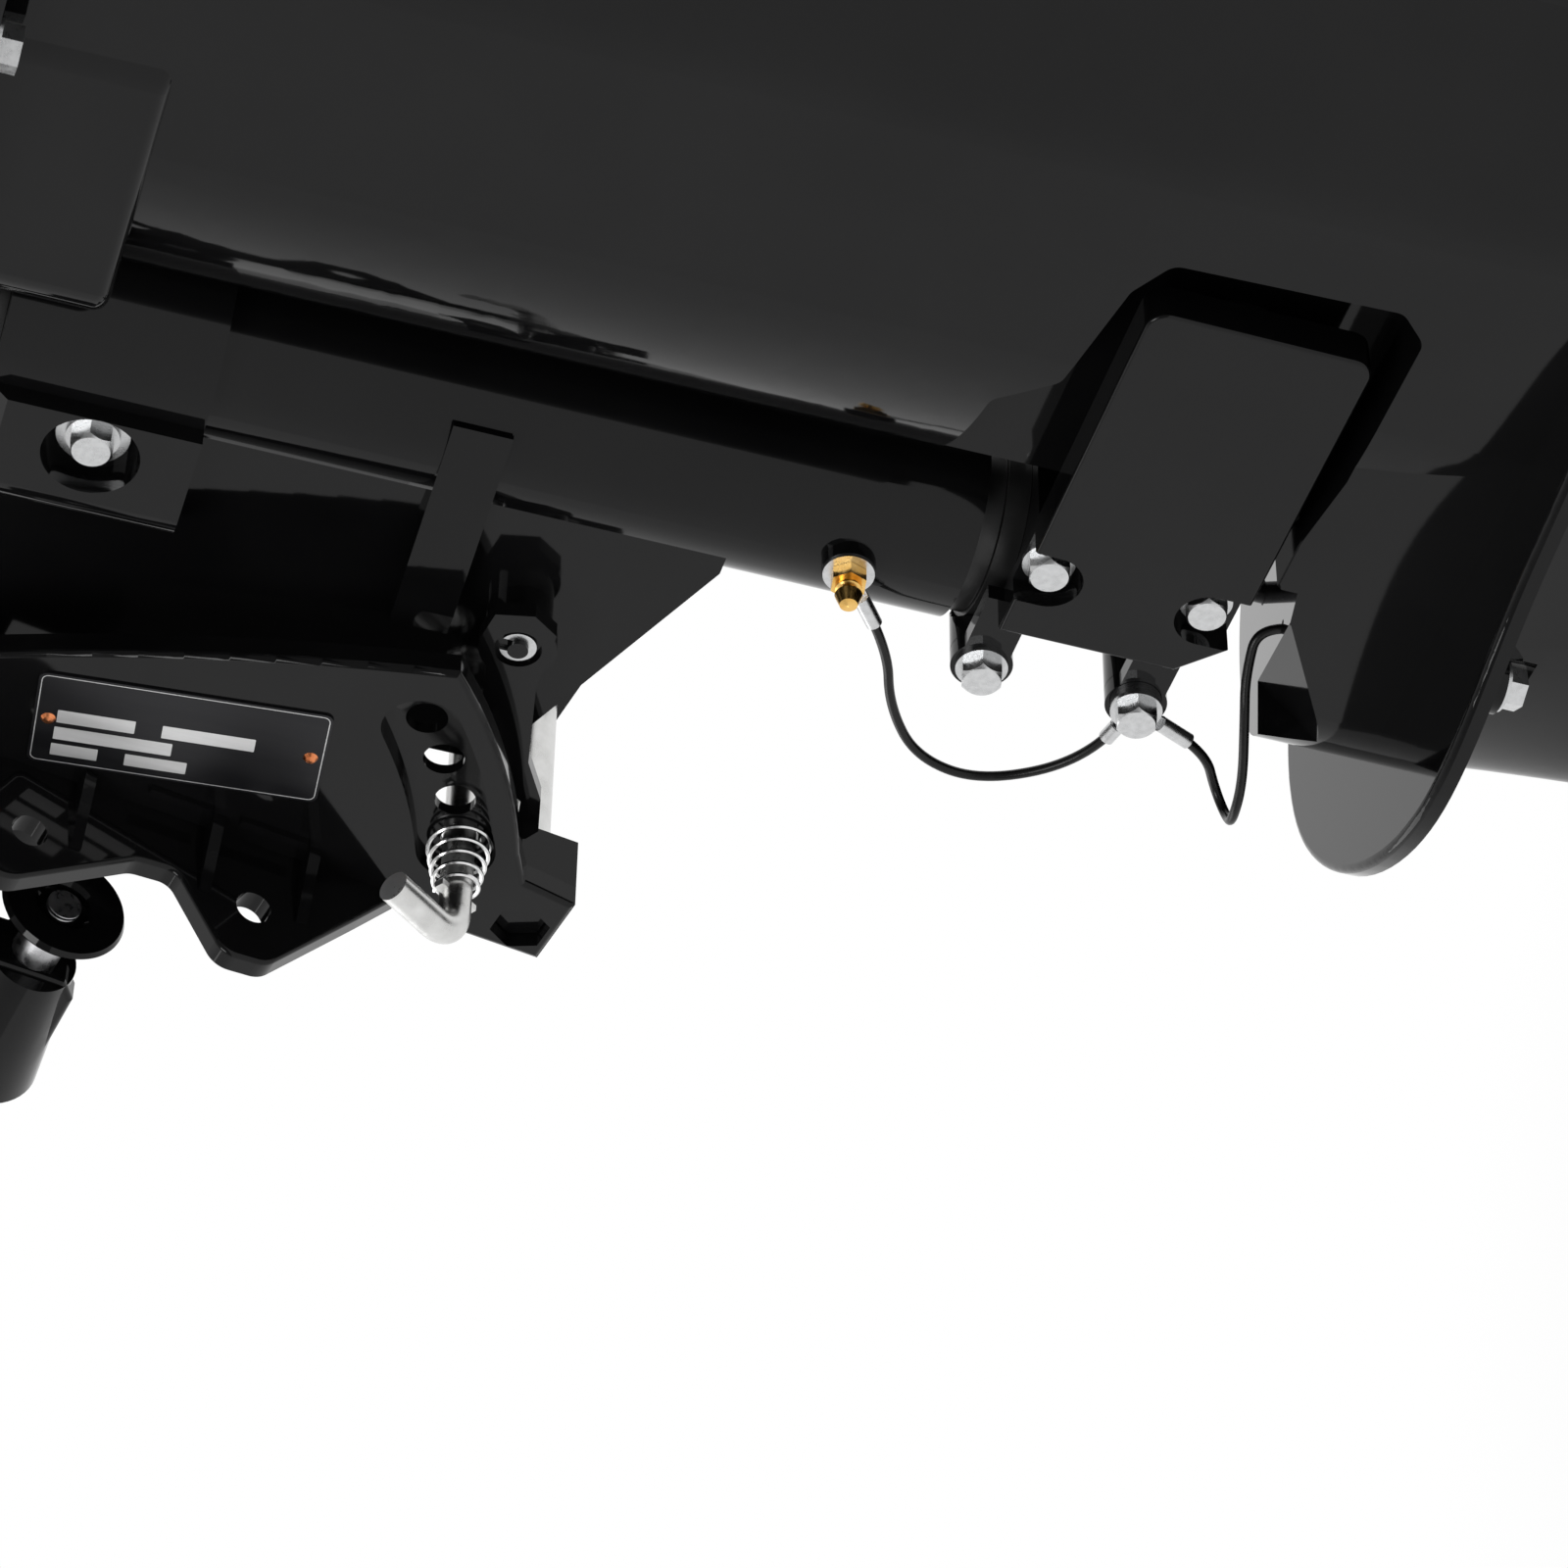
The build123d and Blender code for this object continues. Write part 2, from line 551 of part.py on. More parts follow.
def swivel_bracket():
    y, z = TILT_ROW
    points = swivel_web()
    body = side_prism(points, -WEB_HALF, WEB_HALF)
    body += rod_z(SWIVEL_R, SWIVEL_END, SWIVEL_TOP, 0, STEER_Y)
    # Head round the upper bush, wide ahead of the steering axis and round behind it
    head = span(-HEAD_HALF, HEAD_HALF, HEAD_FRONT, STEER_Y, HEAD_LOW, SWIVEL_TOP)
    head = fillet(head.edges().filter_by(Axis.Z).group_by(Axis.Y)[0], 12)
    head = chamfer(head.edges().filter_by(Axis.Y).group_by(Axis.Z)[-1], 6)
    body += head + rod_z(HEAD_R, HEAD_LOW, SWIVEL_TOP, 0, STEER_Y)
    body += rod_x(HUB_R, -HUB_HALF, HUB_HALF, y, z)
    # Cast ribs on both sides, bosses of the reverse lock and of the support lever
    rib = Polyline(
        (WEB_HALF - 1, 162), (WEB_HALF + 1, 162), (LOCK_X - 2, 88), (LOCK_X - 2, 80), (WEB_HALF - 1, 76),
        close=True,
    )
    rib = Pos(0, 0, -134) * extrude(make_face(rib), amount=20)
    rib += rod_x(11, WEB_HALF - 1, LOCK_X - SEAT, LOCK_Y, LOCK_Z)
    body += rib + starboard(rib)
    body += rod_x(10, -LOCK_X + SEAT, -WEB_HALF + 1, SUPPORT_Y, SUPPORT_Z)
    body += rod_x(NIPPLE_BOSS_R, SWIVEL_R - 8, NIPPLE_BOSS_X, STEER_Y, NIPPLE_Z)
    # The casting is open in front, between its two side walls
    inner = [
        (-40, 34), (-22, 30), (100, 4), (100, -130), (92, -190), (0, -230), (-40, -230),
    ]
    body -= side_prism(inner, -WEB_HALF + WEB_WALL, WEB_HALF - WEB_WALL) - rod_x(HUB_R, -40, 40, y, z)
    # Bores
    shaft = SHAFT_D / 2
    body -= rod_z(shaft + BUSH_WALL, SWIVEL_END - 1, SWIVEL_END + BUSH_LENGTH, 0, STEER_Y)
    body -= rod_z(shaft + BUSH_WALL, SWIVEL_TOP - BUSH_LENGTH, SWIVEL_TOP + 1, 0, STEER_Y)
    body -= rod_z(shaft + 2.5, SWIVEL_END, SWIVEL_TOP, 0, STEER_Y)
    body -= rod_x(TUBE_D / 2 + TILT_BUSH_T, -HUB_HALF - 1, HUB_HALF + 1, y, z)
    body -= rod_x(LOCK_PIN_D / 2 + SLIP, -LOCK_X, LOCK_X, LOCK_Y, LOCK_Z)
    body -= rod_x(LOCK_PIN_D / 2 + SLIP, -LOCK_X, -WEB_HALF + WEB_WALL + 1, SUPPORT_Y, SUPPORT_Z)
    body -= rod_x(3.1, SHAFT_D / 2, NIPPLE_BOSS_X + 1, STEER_Y, NIPPLE_Z)
    # Round recess with the steering friction bolt
    body -= rod_x(16, HEAD_HALF - 12, HEAD_HALF + 1, FRICTION_Y, FRICTION_Z)
    body -= rod_x(M8 / 2 + BOLT_GAP, HEAD_HALF - 30, HEAD_HALF, FRICTION_Y, FRICTION_Z)
    return body


def tilt_bushes():
    y, z = TILT_ROW
    outer = TUBE_D / 2 + TILT_BUSH_T - 0.05
    edge = TILT_BOSS_IN - SEAT
    bush = rod_x(outer, HUB_HALF - 26, edge, y, z) + rod_x(HUB_R - 3, HUB_HALF + 0.1, edge, y, z)
    bush -= rod_x(TUBE_D / 2 + SLIP, 0, TILT_BOSS_IN, y, z)
    return bush + starboard(bush)


def lower_bush():
    shaft = SHAFT_D / 2
    bush = rod_z(shaft + BUSH_WALL - 0.05, SWIVEL_END, SWIVEL_END + BUSH_LENGTH - 1, 0, STEER_Y)
    bush += rod_z(29.5, SWIVEL_END - 6.6, SWIVEL_END - 0.1, 0, STEER_Y)
    return bush - rod_z(shaft + SLIP, SWIVEL_END - 10, SWIVEL_END + BUSH_LENGTH, 0, STEER_Y)


def upper_bush():
    shaft = SHAFT_D / 2
    bush = rod_z(shaft + BUSH_WALL - 0.05, SWIVEL_TOP - BUSH_LENGTH + 1, SWIVEL_TOP, 0, STEER_Y)
    bush += rod_z(30, SWIVEL_TOP + 0.1, SWIVEL_TOP + 3.6, 0, STEER_Y)
    return bush - rod_z(shaft + SLIP, SWIVEL_TOP - BUSH_LENGTH, SWIVEL_TOP + 5, 0, STEER_Y)


def thrust_washer():
    top = SWIVEL_END - 6.9
    ring = rod_z(31, YOKE_TOP + 0.1, top, 0, STEER_Y)
    return ring - rod_z(SHAFT_D / 2 + SLIP, YOKE_TOP, top + 1, 0, STEER_Y)


def grease_nipple():
    x = NIPPLE_BOSS_X + 1.1
    nipple = rod_x(3, SHAFT_D / 2 + 4.5, x + 1, STEER_Y, NIPPLE_Z)
    nipple += hex_x(11, x, x + 5, STEER_Y, NIPPLE_Z, 10)
    lower = [(0, x), (4.4, x), (4.4, x + 7), (2.6, x + 8)]
    upper = [(4.6, x + 9.5), (3.0, x + 14), (0, x + 14.6)]
    profile = Polyline(*lower, *upper, close=True)
    tip = Rot(0, 90, 0) * revolve(Plane.XZ * make_face(profile), Axis.Z, 360)
    return nipple + Pos(0, STEER_Y, NIPPLE_Z) * tip


def ring_terminal(x, y, z, toward, hole, reach=24):
    # Stamped ring with a round crimp barrel that points towards a direction of the YZ plane
    angle = math.degrees(math.atan2(toward[1], toward[0]))
    ring = rod_x(8.6, 0, 1, 0, 0) + span(0, 1, 0, 12, -2.6, 2.6)
    barrel = rod_y(2.8, min(11, reach - 7), reach, 0, 0)
    part = ring + Pos(CRIMP_X, 0, 0) * barrel - rod_x(hole / 2 + 0.1, -1, 2, 0, 0)
    part -= Pos(CRIMP_X, 0, 0) * rod_y(WIRE_D / 2 + 0.1, reach - 8, reach + 1, 0, 0)
    return Pos(x, y, z) * Rot(angle, 0, 0) * part


def friction_bolt():
    seat = HEAD_HALF - 12
    return flange_bolt_x(seat + 2, FRICTION_Y, FRICTION_Z, 14)


def friction_washer():
    seat = HEAD_HALF - 12
    washer = rod_x(12, seat, seat + 2, FRICTION_Y, FRICTION_Z)
    return washer - rod_x(4.2, seat - 1, seat + 3, FRICTION_Y, FRICTION_Z)


# Reverse lock and support lever
def lock_arm():
    # Drawn hooked round the trim pin, then opened
    y, z = PIN_ROW
    r = PIN_D / 2
    head = [(15, 9), (16, -4), (8, -12), (-17, -8), (-53, -9.5)]
    back = [(-45, 6), (-28, 9), (-7, 9.5), (3, 13)]
    hook = [
        (y + r + 3.5, z - r - 8), (y - r - 1, z - r - 9), (y - r - 5.5, z - r - 5), (y - r - 5.5, z + 2.5),
        (y - r - 1.4, z + 2.5), (y - r - 1.2, z - r - 1.3), (y + r + 1.5, z - r - 1.3), (y + r + 8, z - 1),
    ]
    near, far = [[(LOCK_Y + dy, LOCK_Z + dz) for dy, dz in side] for side in (head, back)]
    outer = LOCK_X + LOCK_T
    arm = side_prism(near + hook + far, LOCK_X, outer) + rod_x(13, LOCK_X, outer, LOCK_Y, LOCK_Z)
    arm -= rod_x(8, outer - LOCK_RECESS, outer + 1, LOCK_Y, LOCK_Z)
    pivot = Pos(0, LOCK_Y, LOCK_Z)
    arm = pivot * Rot(LOCK_OPEN, 0, 0) * Pos(0, -LOCK_Y, -LOCK_Z) * arm
    end = outer + 0.8
    return arm + starboard(arm) + rod_x(LOCK_PIN_D / 2, -end, end, LOCK_Y, LOCK_Z)


def lock_clips():
    # E-clips at both ends of the lock pin, in the recess of each arm
    start = LOCK_X + LOCK_T - LOCK_RECESS + 0.2
    clip = rod_x(6.2, start, start + 1.2, LOCK_Y, LOCK_Z)
    clip -= rod_x(LOCK_PIN_D / 2 + 0.05, start - 1, start + 2, LOCK_Y, LOCK_Z)
    clip -= span(start - 1, start + 2, LOCK_Y - 2.6, LOCK_Y + 2.6, LOCK_Z, LOCK_Z + 8)
    return clip + starboard(clip)


def support_lever():
    # Swings out from the starboard side to hold the motor up; it hangs plumb
    x = -LOCK_X
    low = SUPPORT_Z - SUPPORT_LENGTH
    lever = rod_x(10, x - 5, x, SUPPORT_Y, SUPPORT_Z)
    blade = [(SUPPORT_Y - 8, SUPPORT_Z), (SUPPORT_Y + 8, SUPPORT_Z)]
    blade += [(SUPPORT_Y + 6, low), (SUPPORT_Y - 6, low)]
    lever += side_prism(blade, x - 5, x) + rod_x(6, x - 5, x + 6, SUPPORT_Y, low)
    return lever + rod_x(LOCK_PIN_D / 2, x, -WEB_HALF + WEB_WALL, SUPPORT_Y, SUPPORT_Z)


# Steering shaft and yokes
def steering_shaft():
    shaft = rod_z(SHAFT_D / 2, YOKE_LOW + 6, UPPER_YOKE_TOP, 0, STEER_Y)
    return shaft - rod_z(SHAFT_BORE / 2, YOKE_LOW, UPPER_YOKE_TOP + 1, 0, STEER_Y)


def lower_yoke():
    edge = ARM_IN - SEAT
    yoke = rod_z(YOKE_R, YOKE_LOW, YOKE_TOP, 0, STEER_Y)
    yoke += span(-edge, edge, STEER_Y, 180, YOKE_LOW, YOKE_TOP)
    yoke = fillet(yoke.edges().filter_by(Axis.Z).group_by(Axis.Y)[-1], 6)
    for i in (0, 2):
        y, z = MOUNT_BOLTS[i]
        yoke += rod_x(EAR_R, -edge, edge, y, z)
    yoke -= rod_z(YOKE_CLEAR_R, YOKE_TOP, SWIVEL_END, 0, STEER_Y)
    yoke -= rod_z(SHAFT_D / 2 + 0.05, YOKE_LOW + 6, YOKE_TOP + 1, 0, STEER_Y)
    yoke -= rod_z(SHAFT_BORE / 2, YOKE_LOW - 1, YOKE_TOP, 0, STEER_Y)
    for i, (y, z) in enumerate(MOUNT_BOLTS):
        seat = EAR_FACE if i in (0, 2) else NOTCH_FLOOR
        hole = rod_x(M8 / 2 + 0.05, seat - MOUNT_BOLT_LENGTHS[i] - 1, edge + 1, y, z)
        yoke -= hole + starboard(hole)
    return yoke


def mount_arm():
    corner = 7
    plate = span(ARM_IN, ARM_OUT, ARM_FRONT, ARM_BACK, ARM_LOW, ARM_TOP)
    plate = fillet(plate.edges().filter_by(Axis.X).group_by(Axis.Y)[-1], corner)
    plate = chamfer(plate.edges().filter_by(Axis.X).group_by(Axis.Y)[0].sort_by(Axis.Z)[:1], 14)
    plate = fillet(plate.edges().group_by(Axis.X)[-1], 1.2)
    arm = plate
    for i in (0, 2):
        y, z = MOUNT_BOLTS[i]
        arm += span(ARM_IN, EAR_FACE, y, ARM_FRONT + 6, z - 8, z + 8) + rod_x(EAR_R, ARM_IN, EAR_FACE, y, z)
    for i, up in ((1, 1), (3, -1)):
        y, z = MOUNT_BOLTS[i]
        cut = rod_x(NOTCH_R, NOTCH_FLOOR, ARM_OUT + 1, y, z)
        far = z + up * 30
        cut += span(NOTCH_FLOOR, ARM_OUT + 1, y - NOTCH_R, y + NOTCH_R, min(z, far), max(z, far))
        arm -= cut
    for y, z in MOUNT_BOLTS:
        arm -= rod_x(M8 / 2 + BOLT_GAP, ARM_IN - 1, ARM_OUT, y, z)
    return arm


def mount_bolts():
    group = Part()
    for i, (y, z) in enumerate(MOUNT_BOLTS):
        seat = EAR_FACE if i in (0, 2) else NOTCH_FLOOR
        lift = 2 * TERMINAL_T if i == 2 else 0
        port = flange_bolt_x(seat + lift, y, z, MOUNT_BOLT_LENGTHS[i])
        star = starboard(flange_bolt_x(seat, y, z, MOUNT_BOLT_LENGTHS[i]))
        group += port + star
    return group


def lower_rubbers():
    pad = rod_x(RUBBER_R, RUBBER_IN + SEAT, ARM_IN - SEAT, RUBBER_Y, RUBBER_Z)
    pad -= rod_x(7, RUBBER_IN, ARM_IN, RUBBER_Y, RUBBER_Z)
    return pad + starboard(pad)


def upper_yoke():
    low = SWIVEL_TOP + 3.9
    yoke = rod_z(31, low, UPPER_YOKE_TOP, 0, STEER_Y)
    # Cross plate that carries the upper mounts
    yoke += span(-58, 58, 178, 189, low + 2, UPPER_YOKE_TOP - 2)
    yoke += span(-24, 24, STEER_Y, 180, low + 2, UPPER_YOKE_TOP - 2)
    # Two cheeks that reach forward to the tiller pivot
    cheek = [
        (STEER_Y + 22, low + 10), (STEER_Y + 22, CHEEK_TOP - 12), (STEER_Y + 10, CHEEK_TOP),
        (TILLER_Y, CHEEK_TOP + 2),
        (TILLER_Y - 13, TILLER_Z + 6), (TILLER_Y - 13, TILLER_Z - 8), (TILLER_Y, TILLER_Z - 14),
        (110, 74), (118, low + 10),
    ]
    port = side_prism(cheek, CHEEK_IN, CHEEK_OUT)
    yoke += port + starboard(port)
    yoke -= rod_z(SHAFT_D / 2 + 0.05, low - 1, UPPER_YOKE_TOP + 0.1, 0, STEER_Y)
    yoke -= rod_x(PIVOT_D / 2 + SLIP, -CHEEK_OUT - 1, CHEEK_OUT + 1, TILLER_Y, TILLER_Z)
    yoke -= rod_x(SHIFT_SHAFT_D / 2 + SLIP, -CHEEK_OUT - 1, CHEEK_OUT + 1, SHIFT_SHAFT_Y, SHIFT_SHAFT_Z)
    for x in (-UPPER_MOUNT_X, UPPER_MOUNT_X):
        yoke -= rod_y(5 + BOLT_GAP, 170, 195, x, UPPER_MOUNT_Z)
    return yoke


def upper_rubbers():
    front = HEAD_BLOCK_FRONT - 3.7
    group = Part()
    for x in (-UPPER_MOUNT_X, UPPER_MOUNT_X):
        pad = rod_y(UPPER_MOUNT_R, front, front + 30, x, UPPER_MOUNT_Z)
        group += pad - rod_y(5.3, front - 1, front + 31, x, UPPER_MOUNT_Z)
    return group


def upper_mount_bolts():
    group = Part()
    for x in (-UPPER_MOUNT_X, UPPER_MOUNT_X):
        head = Pos(x, 171.6, UPPER_MOUNT_Z) * Rot(-90, 0, 0) * hex_z(17, 0, 6.4, 0, 0)
        group += head + rod_y(5, 177, 216, x, UPPER_MOUNT_Z)
    return group


# Shift linkage


def shift_lever():
    shaft = rod_x(SHIFT_SHAFT_D / 2, LEVER_X, 34, SHIFT_SHAFT_Y, SHIFT_SHAFT_Z)
    # Inner crank with a ball that sits in the slot of the shift rod
    crank = rod_x(9, -7, 7, SHIFT_SHAFT_Y, SHIFT_SHAFT_Z)
    crank += rod_y(2.5, SHIFT_SHAFT_Y, STEER_Y - 1, 0, SHIFT_SHAFT_Z)
    crank += Pos(0, STEER_Y, SHIFT_SHAFT_Z) * Sphere(CRANK_BALL_R)
    # Outer lever beside the cowl
    hub = rod_x(13, LEVER_X - 6, LEVER_X + 6, SHIFT_SHAFT_Y, SHIFT_SHAFT_Z)
    top = SHIFT_SHAFT_Z + 104
    y, z = SHIFT_SHAFT_Y, SHIFT_SHAFT_Z
    blade = [(y - 9, z), (y + 9, z), (y + 6, top), (y - 6, top)]
    lever = hub + side_prism(blade, LEVER_X - 5, LEVER_X + 3)
    lever += rod_x(11, LEVER_X - 14, LEVER_X + 5, SHIFT_SHAFT_Y, top)
    return shaft + crank + lever


def shift_rod():
    ball = CRANK_BALL_R + 0.2
    rod = rod_z(SHIFT_ROD_D / 2, PROP_Z + 6, SHIFT_SHAFT_Z - 8, 0, STEER_Y)
    fork = span(-7, 7, STEER_Y - 4, STEER_Y + 8, SHIFT_SHAFT_Z - 10, SHIFT_SHAFT_Z + 10)
    fork -= span(-8, 8, STEER_Y - 8, STEER_Y + 6.5, SHIFT_SHAFT_Z - ball, SHIFT_SHAFT_Z + ball)
    cam = span(-5, 5, STEER_Y - 5, STEER_Y + 5, PROP_Z - 8, PROP_Z + 8)
    return rod + fork + cam


# Tiller
def tiller_arm():
    end = TILLER_Y - TILLER_LENGTH
    tang = rod_x(12, -CHEEK_IN + 0.5, CHEEK_IN - 0.5, TILLER_Y, TILLER_Z)
    tang += span(-CHEEK_IN + 0.5, CHEEK_IN - 0.5, TILLER_Y - 34, TILLER_Y, TILLER_Z - 12, TILLER_Z + 12)
    root = Plane((0, TILLER_Y - 20, TILLER_Z), x_dir=(1, 0, 0), z_dir=(0, -1, 0))
    near = root * RectangleRounded(35, 30, 8)
    middle = root.offset(110) * RectangleRounded(42, 36, 14)
    far = root.offset(TILLER_LENGTH - 20) * RectangleRounded(36, 34, 16)
    arm = tang + loft([near, middle, far])
    arm -= rod_x(PIVOT_D / 2 + SLIP, -30, 30, TILLER_Y, TILLER_Z)
    arm -= rod_y(7 + SLIP, end - 1, end + 40, 0, TILLER_Z)
    return arm


def twist_grip():
    start = TILLER_Y - TILLER_LENGTH - 0.4
    end = start - GRIP_LENGTH
    grip = turned_y(
        [
            (start, 0), (start, GRIP_R + 2.5), (start - 5, GRIP_R + 2.5), (start - 8, GRIP_R),
            (end + 12, GRIP_R + 1), (end + 3, GRIP_R), (end, GRIP_R - 4), (end, 0),
        ],
        0, TILLER_Z,
    )
    # Long grooves of the rubber grip
    for i in range(12):
        a = i * 30.0
        groove = rod_y(2.2, end + 16, start - 16, 0, GRIP_R + 1.6)
        grip -= Pos(0, 0, TILLER_Z) * Rot(0, a, 0) * groove
    return grip + rod_y(7, start, start + 36, 0, TILLER_Z)


def tiller_pivot():
    bolt = rod_x(PIVOT_D / 2, -CHEEK_OUT - 9, CHEEK_OUT, TILLER_Y, TILLER_Z)
    bolt += hex_x(17, CHEEK_OUT, CHEEK_OUT + 7, TILLER_Y, TILLER_Z)
    return bolt + hex_x(17, -CHEEK_OUT - 8, -CHEEK_OUT, TILLER_Y, TILLER_Z)


# Leg
def splash_plate():
    edge = Spline(
        (0, 60.5), (51, 76), (94, 122), (107.6, 163), (88, 243), (66, 320), (40, 412), (0, 447),
        tangents=[(1, 0), (-1, 0)],
    )
    half = extrude(make_face(Curve() + [edge, Line((0, 447), (0, 60.5))]), amount=LEG_LOW - PLATE_LOW)
    half = fillet(half.edges().group_by(Axis.Z)[-1].filter_by(GeomType.BSPLINE), 2.5)
    plate = half + starboard(half)
    return Pos(0, 0, PLATE_LOW) * plate


def leg_nose():
    # Rounded foot of the leg ahead of the yoke, its top sloping down and forward
    top = -384 - PLATE_LOW
    block = extrude(foil(NOSE_FRONT, 320, LEG_HALF_LOW, NOSE_SHOULDER, 270, 12, PLATE_LOW), amount=top)
    block -= side_prism([(80, -412.5), (192, -391), (192, -380), (80, -380)], -60, 60)
    # Sloping shoulders towards both sides
    facet = Plane(origin=(LEG_HALF_LOW, 199, -381), z_dir=(0.599, -0.423, 0.680))
    shoulder = facet * Pos(0, 0, 40) * Box(160, 160, 80)
    block -= shoulder + starboard(shoulder)
    return block


def drive_housing():
    top = foil(LEG_FRONT, LEG_BACK - 8, LEG_HALF, 264, 340, 13, LEG_TOP)
    mid = foil(LEG_FRONT + 1, LEG_BACK, 0.5 * (LEG_HALF + LEG_HALF_LOW), 266, 342, 13, -250)
    low = foil(LEG_FRONT + 2, LEG_BACK + 2, LEG_HALF_LOW, 268, 344, 12, LEG_LOW - 1)
    leg = loft([top, mid, low])
    block = span(-HEAD_BLOCK_HALF, HEAD_BLOCK_HALF, HEAD_BLOCK_FRONT, 304, HEAD_BLOCK_LOW, LEG_TOP + 1)
    block = fillet(block.edges().filter_by(Axis.Z), 14)
    block = fillet(block.edges().group_by(Axis.Z)[0], 5)
    half = (FLANGE_TOP - LEG_TOP) / 2
    flange = Pos(0, 297, LEG_TOP + half) * extrude(RectangleRounded(160, 208, 34), amount=half, both=True)
    leg -= span(-70, 70, LEG_FRONT - 10, HEAD_BLOCK_FRONT, HEAD_BLOCK_LOW, LEG_TOP + 1)
    leg += block + flange + leg_nose() + splash_plate()
    # Recess on each side for the lower mount arm
    pocket = Polyline(
        (150, -262), (243, -268), (258, -286), (300, -294), (314, -303), (316, -378),
        (306, -388.5), (243, -388),
        (200, -382), (150, -382),
        close=True,
    )
    pocket = extrude(Plane.YZ * make_face(pocket), amount=40, dir=(1, 0, 0))
    pocket = fillet(pocket.edges().filter_by(Axis.X).sort_by(Axis.Y)[-7:], 6)
    pocket = Pos(RECESS_FLOOR, 0, 0) * pocket
    leg -= pocket + starboard(pocket)
    rubber = rod_x(RUBBER_R + SEAT, RUBBER_IN, RECESS_FLOOR + 1, RUBBER_Y, RUBBER_Z)
    leg -= rubber + starboard(rubber)
    # Space round the lower yoke
    leg -= span(-70, 70, 150, LEG_FRONT + 3, -391, -262)
    for x in (-UPPER_MOUNT_X, UPPER_MOUNT_X):
        leg -= rod_y(UPPER_MOUNT_R + SEAT, HEAD_BLOCK_FRONT - 1, HEAD_BLOCK_FRONT + 27, x, UPPER_MOUNT_Z)
    # Inner passages and the hole of the bonding wire
    leg -= rod_z(WIRE_D / 2 + 0.15, -410, -380, WIRE_2[-1][0], WIRE_2[-1][1])
    leg -= rod_z(DRIVE_BORE / 2, PLATE_LOW - 1, FLANGE_TOP + 1, 0, DRIVE_Y)
    leg -= rod_z(EXHAUST_R - 3, -180, FLANGE_TOP + 1, 0, EXHAUST_Y)
    leg -= rod_z(SHIFT_ROD_D / 2 + 0.5, PLATE_LOW - 1, -380, 0, STEER_Y)
    for x, y in LEG_BOLTS:
        leg -= rod_z(M8 / 2 + BOLT_GAP, LEG_TOP - 1, FLANGE_TOP + 1, x, y)
    for x, y in GEARCASE_BOLTS:
        leg -= rod_z(M8 / 2 + 0.05, PLATE_LOW - 1, PLATE_LOW + 19, x, y)
    return leg


def leg_bolts():
    group = Part()
    for x, y in LEG_BOLTS:
        bolt = hex_z(M8_AF, LEG_TOP - M8_HEAD, LEG_TOP, x, y)
        bolt += rod_z(M8_FLANGE_R, LEG_TOP - M8_FLANGE_T, LEG_TOP, x, y)
        group += bolt + rod_z(M8 / 2, LEG_TOP, FLANGE_TOP + 16, x, y)
    return group


def engine_holder():
    plan = RectangleRounded(2 * HOLDER_HALF + 12, 206, 32)
    holder = Pos(0, 297, FLANGE_TOP) * extrude(plan, amount=COWL_LOW - FLANGE_TOP, taper=3)
    holder -= rod_z(DRIVE_BORE / 2, FLANGE_TOP - 1, COWL_LOW + 1, 0, DRIVE_Y)
    holder -= rod_z(EXHAUST_R - 3, FLANGE_TOP - 1, COWL_LOW - 6, 0, EXHAUST_Y)
    for x, y in LEG_BOLTS:
        holder -= rod_z(M8 / 2 + 0.05, FLANGE_TOP - 1, FLANGE_TOP + 17, x, y)
    return holder


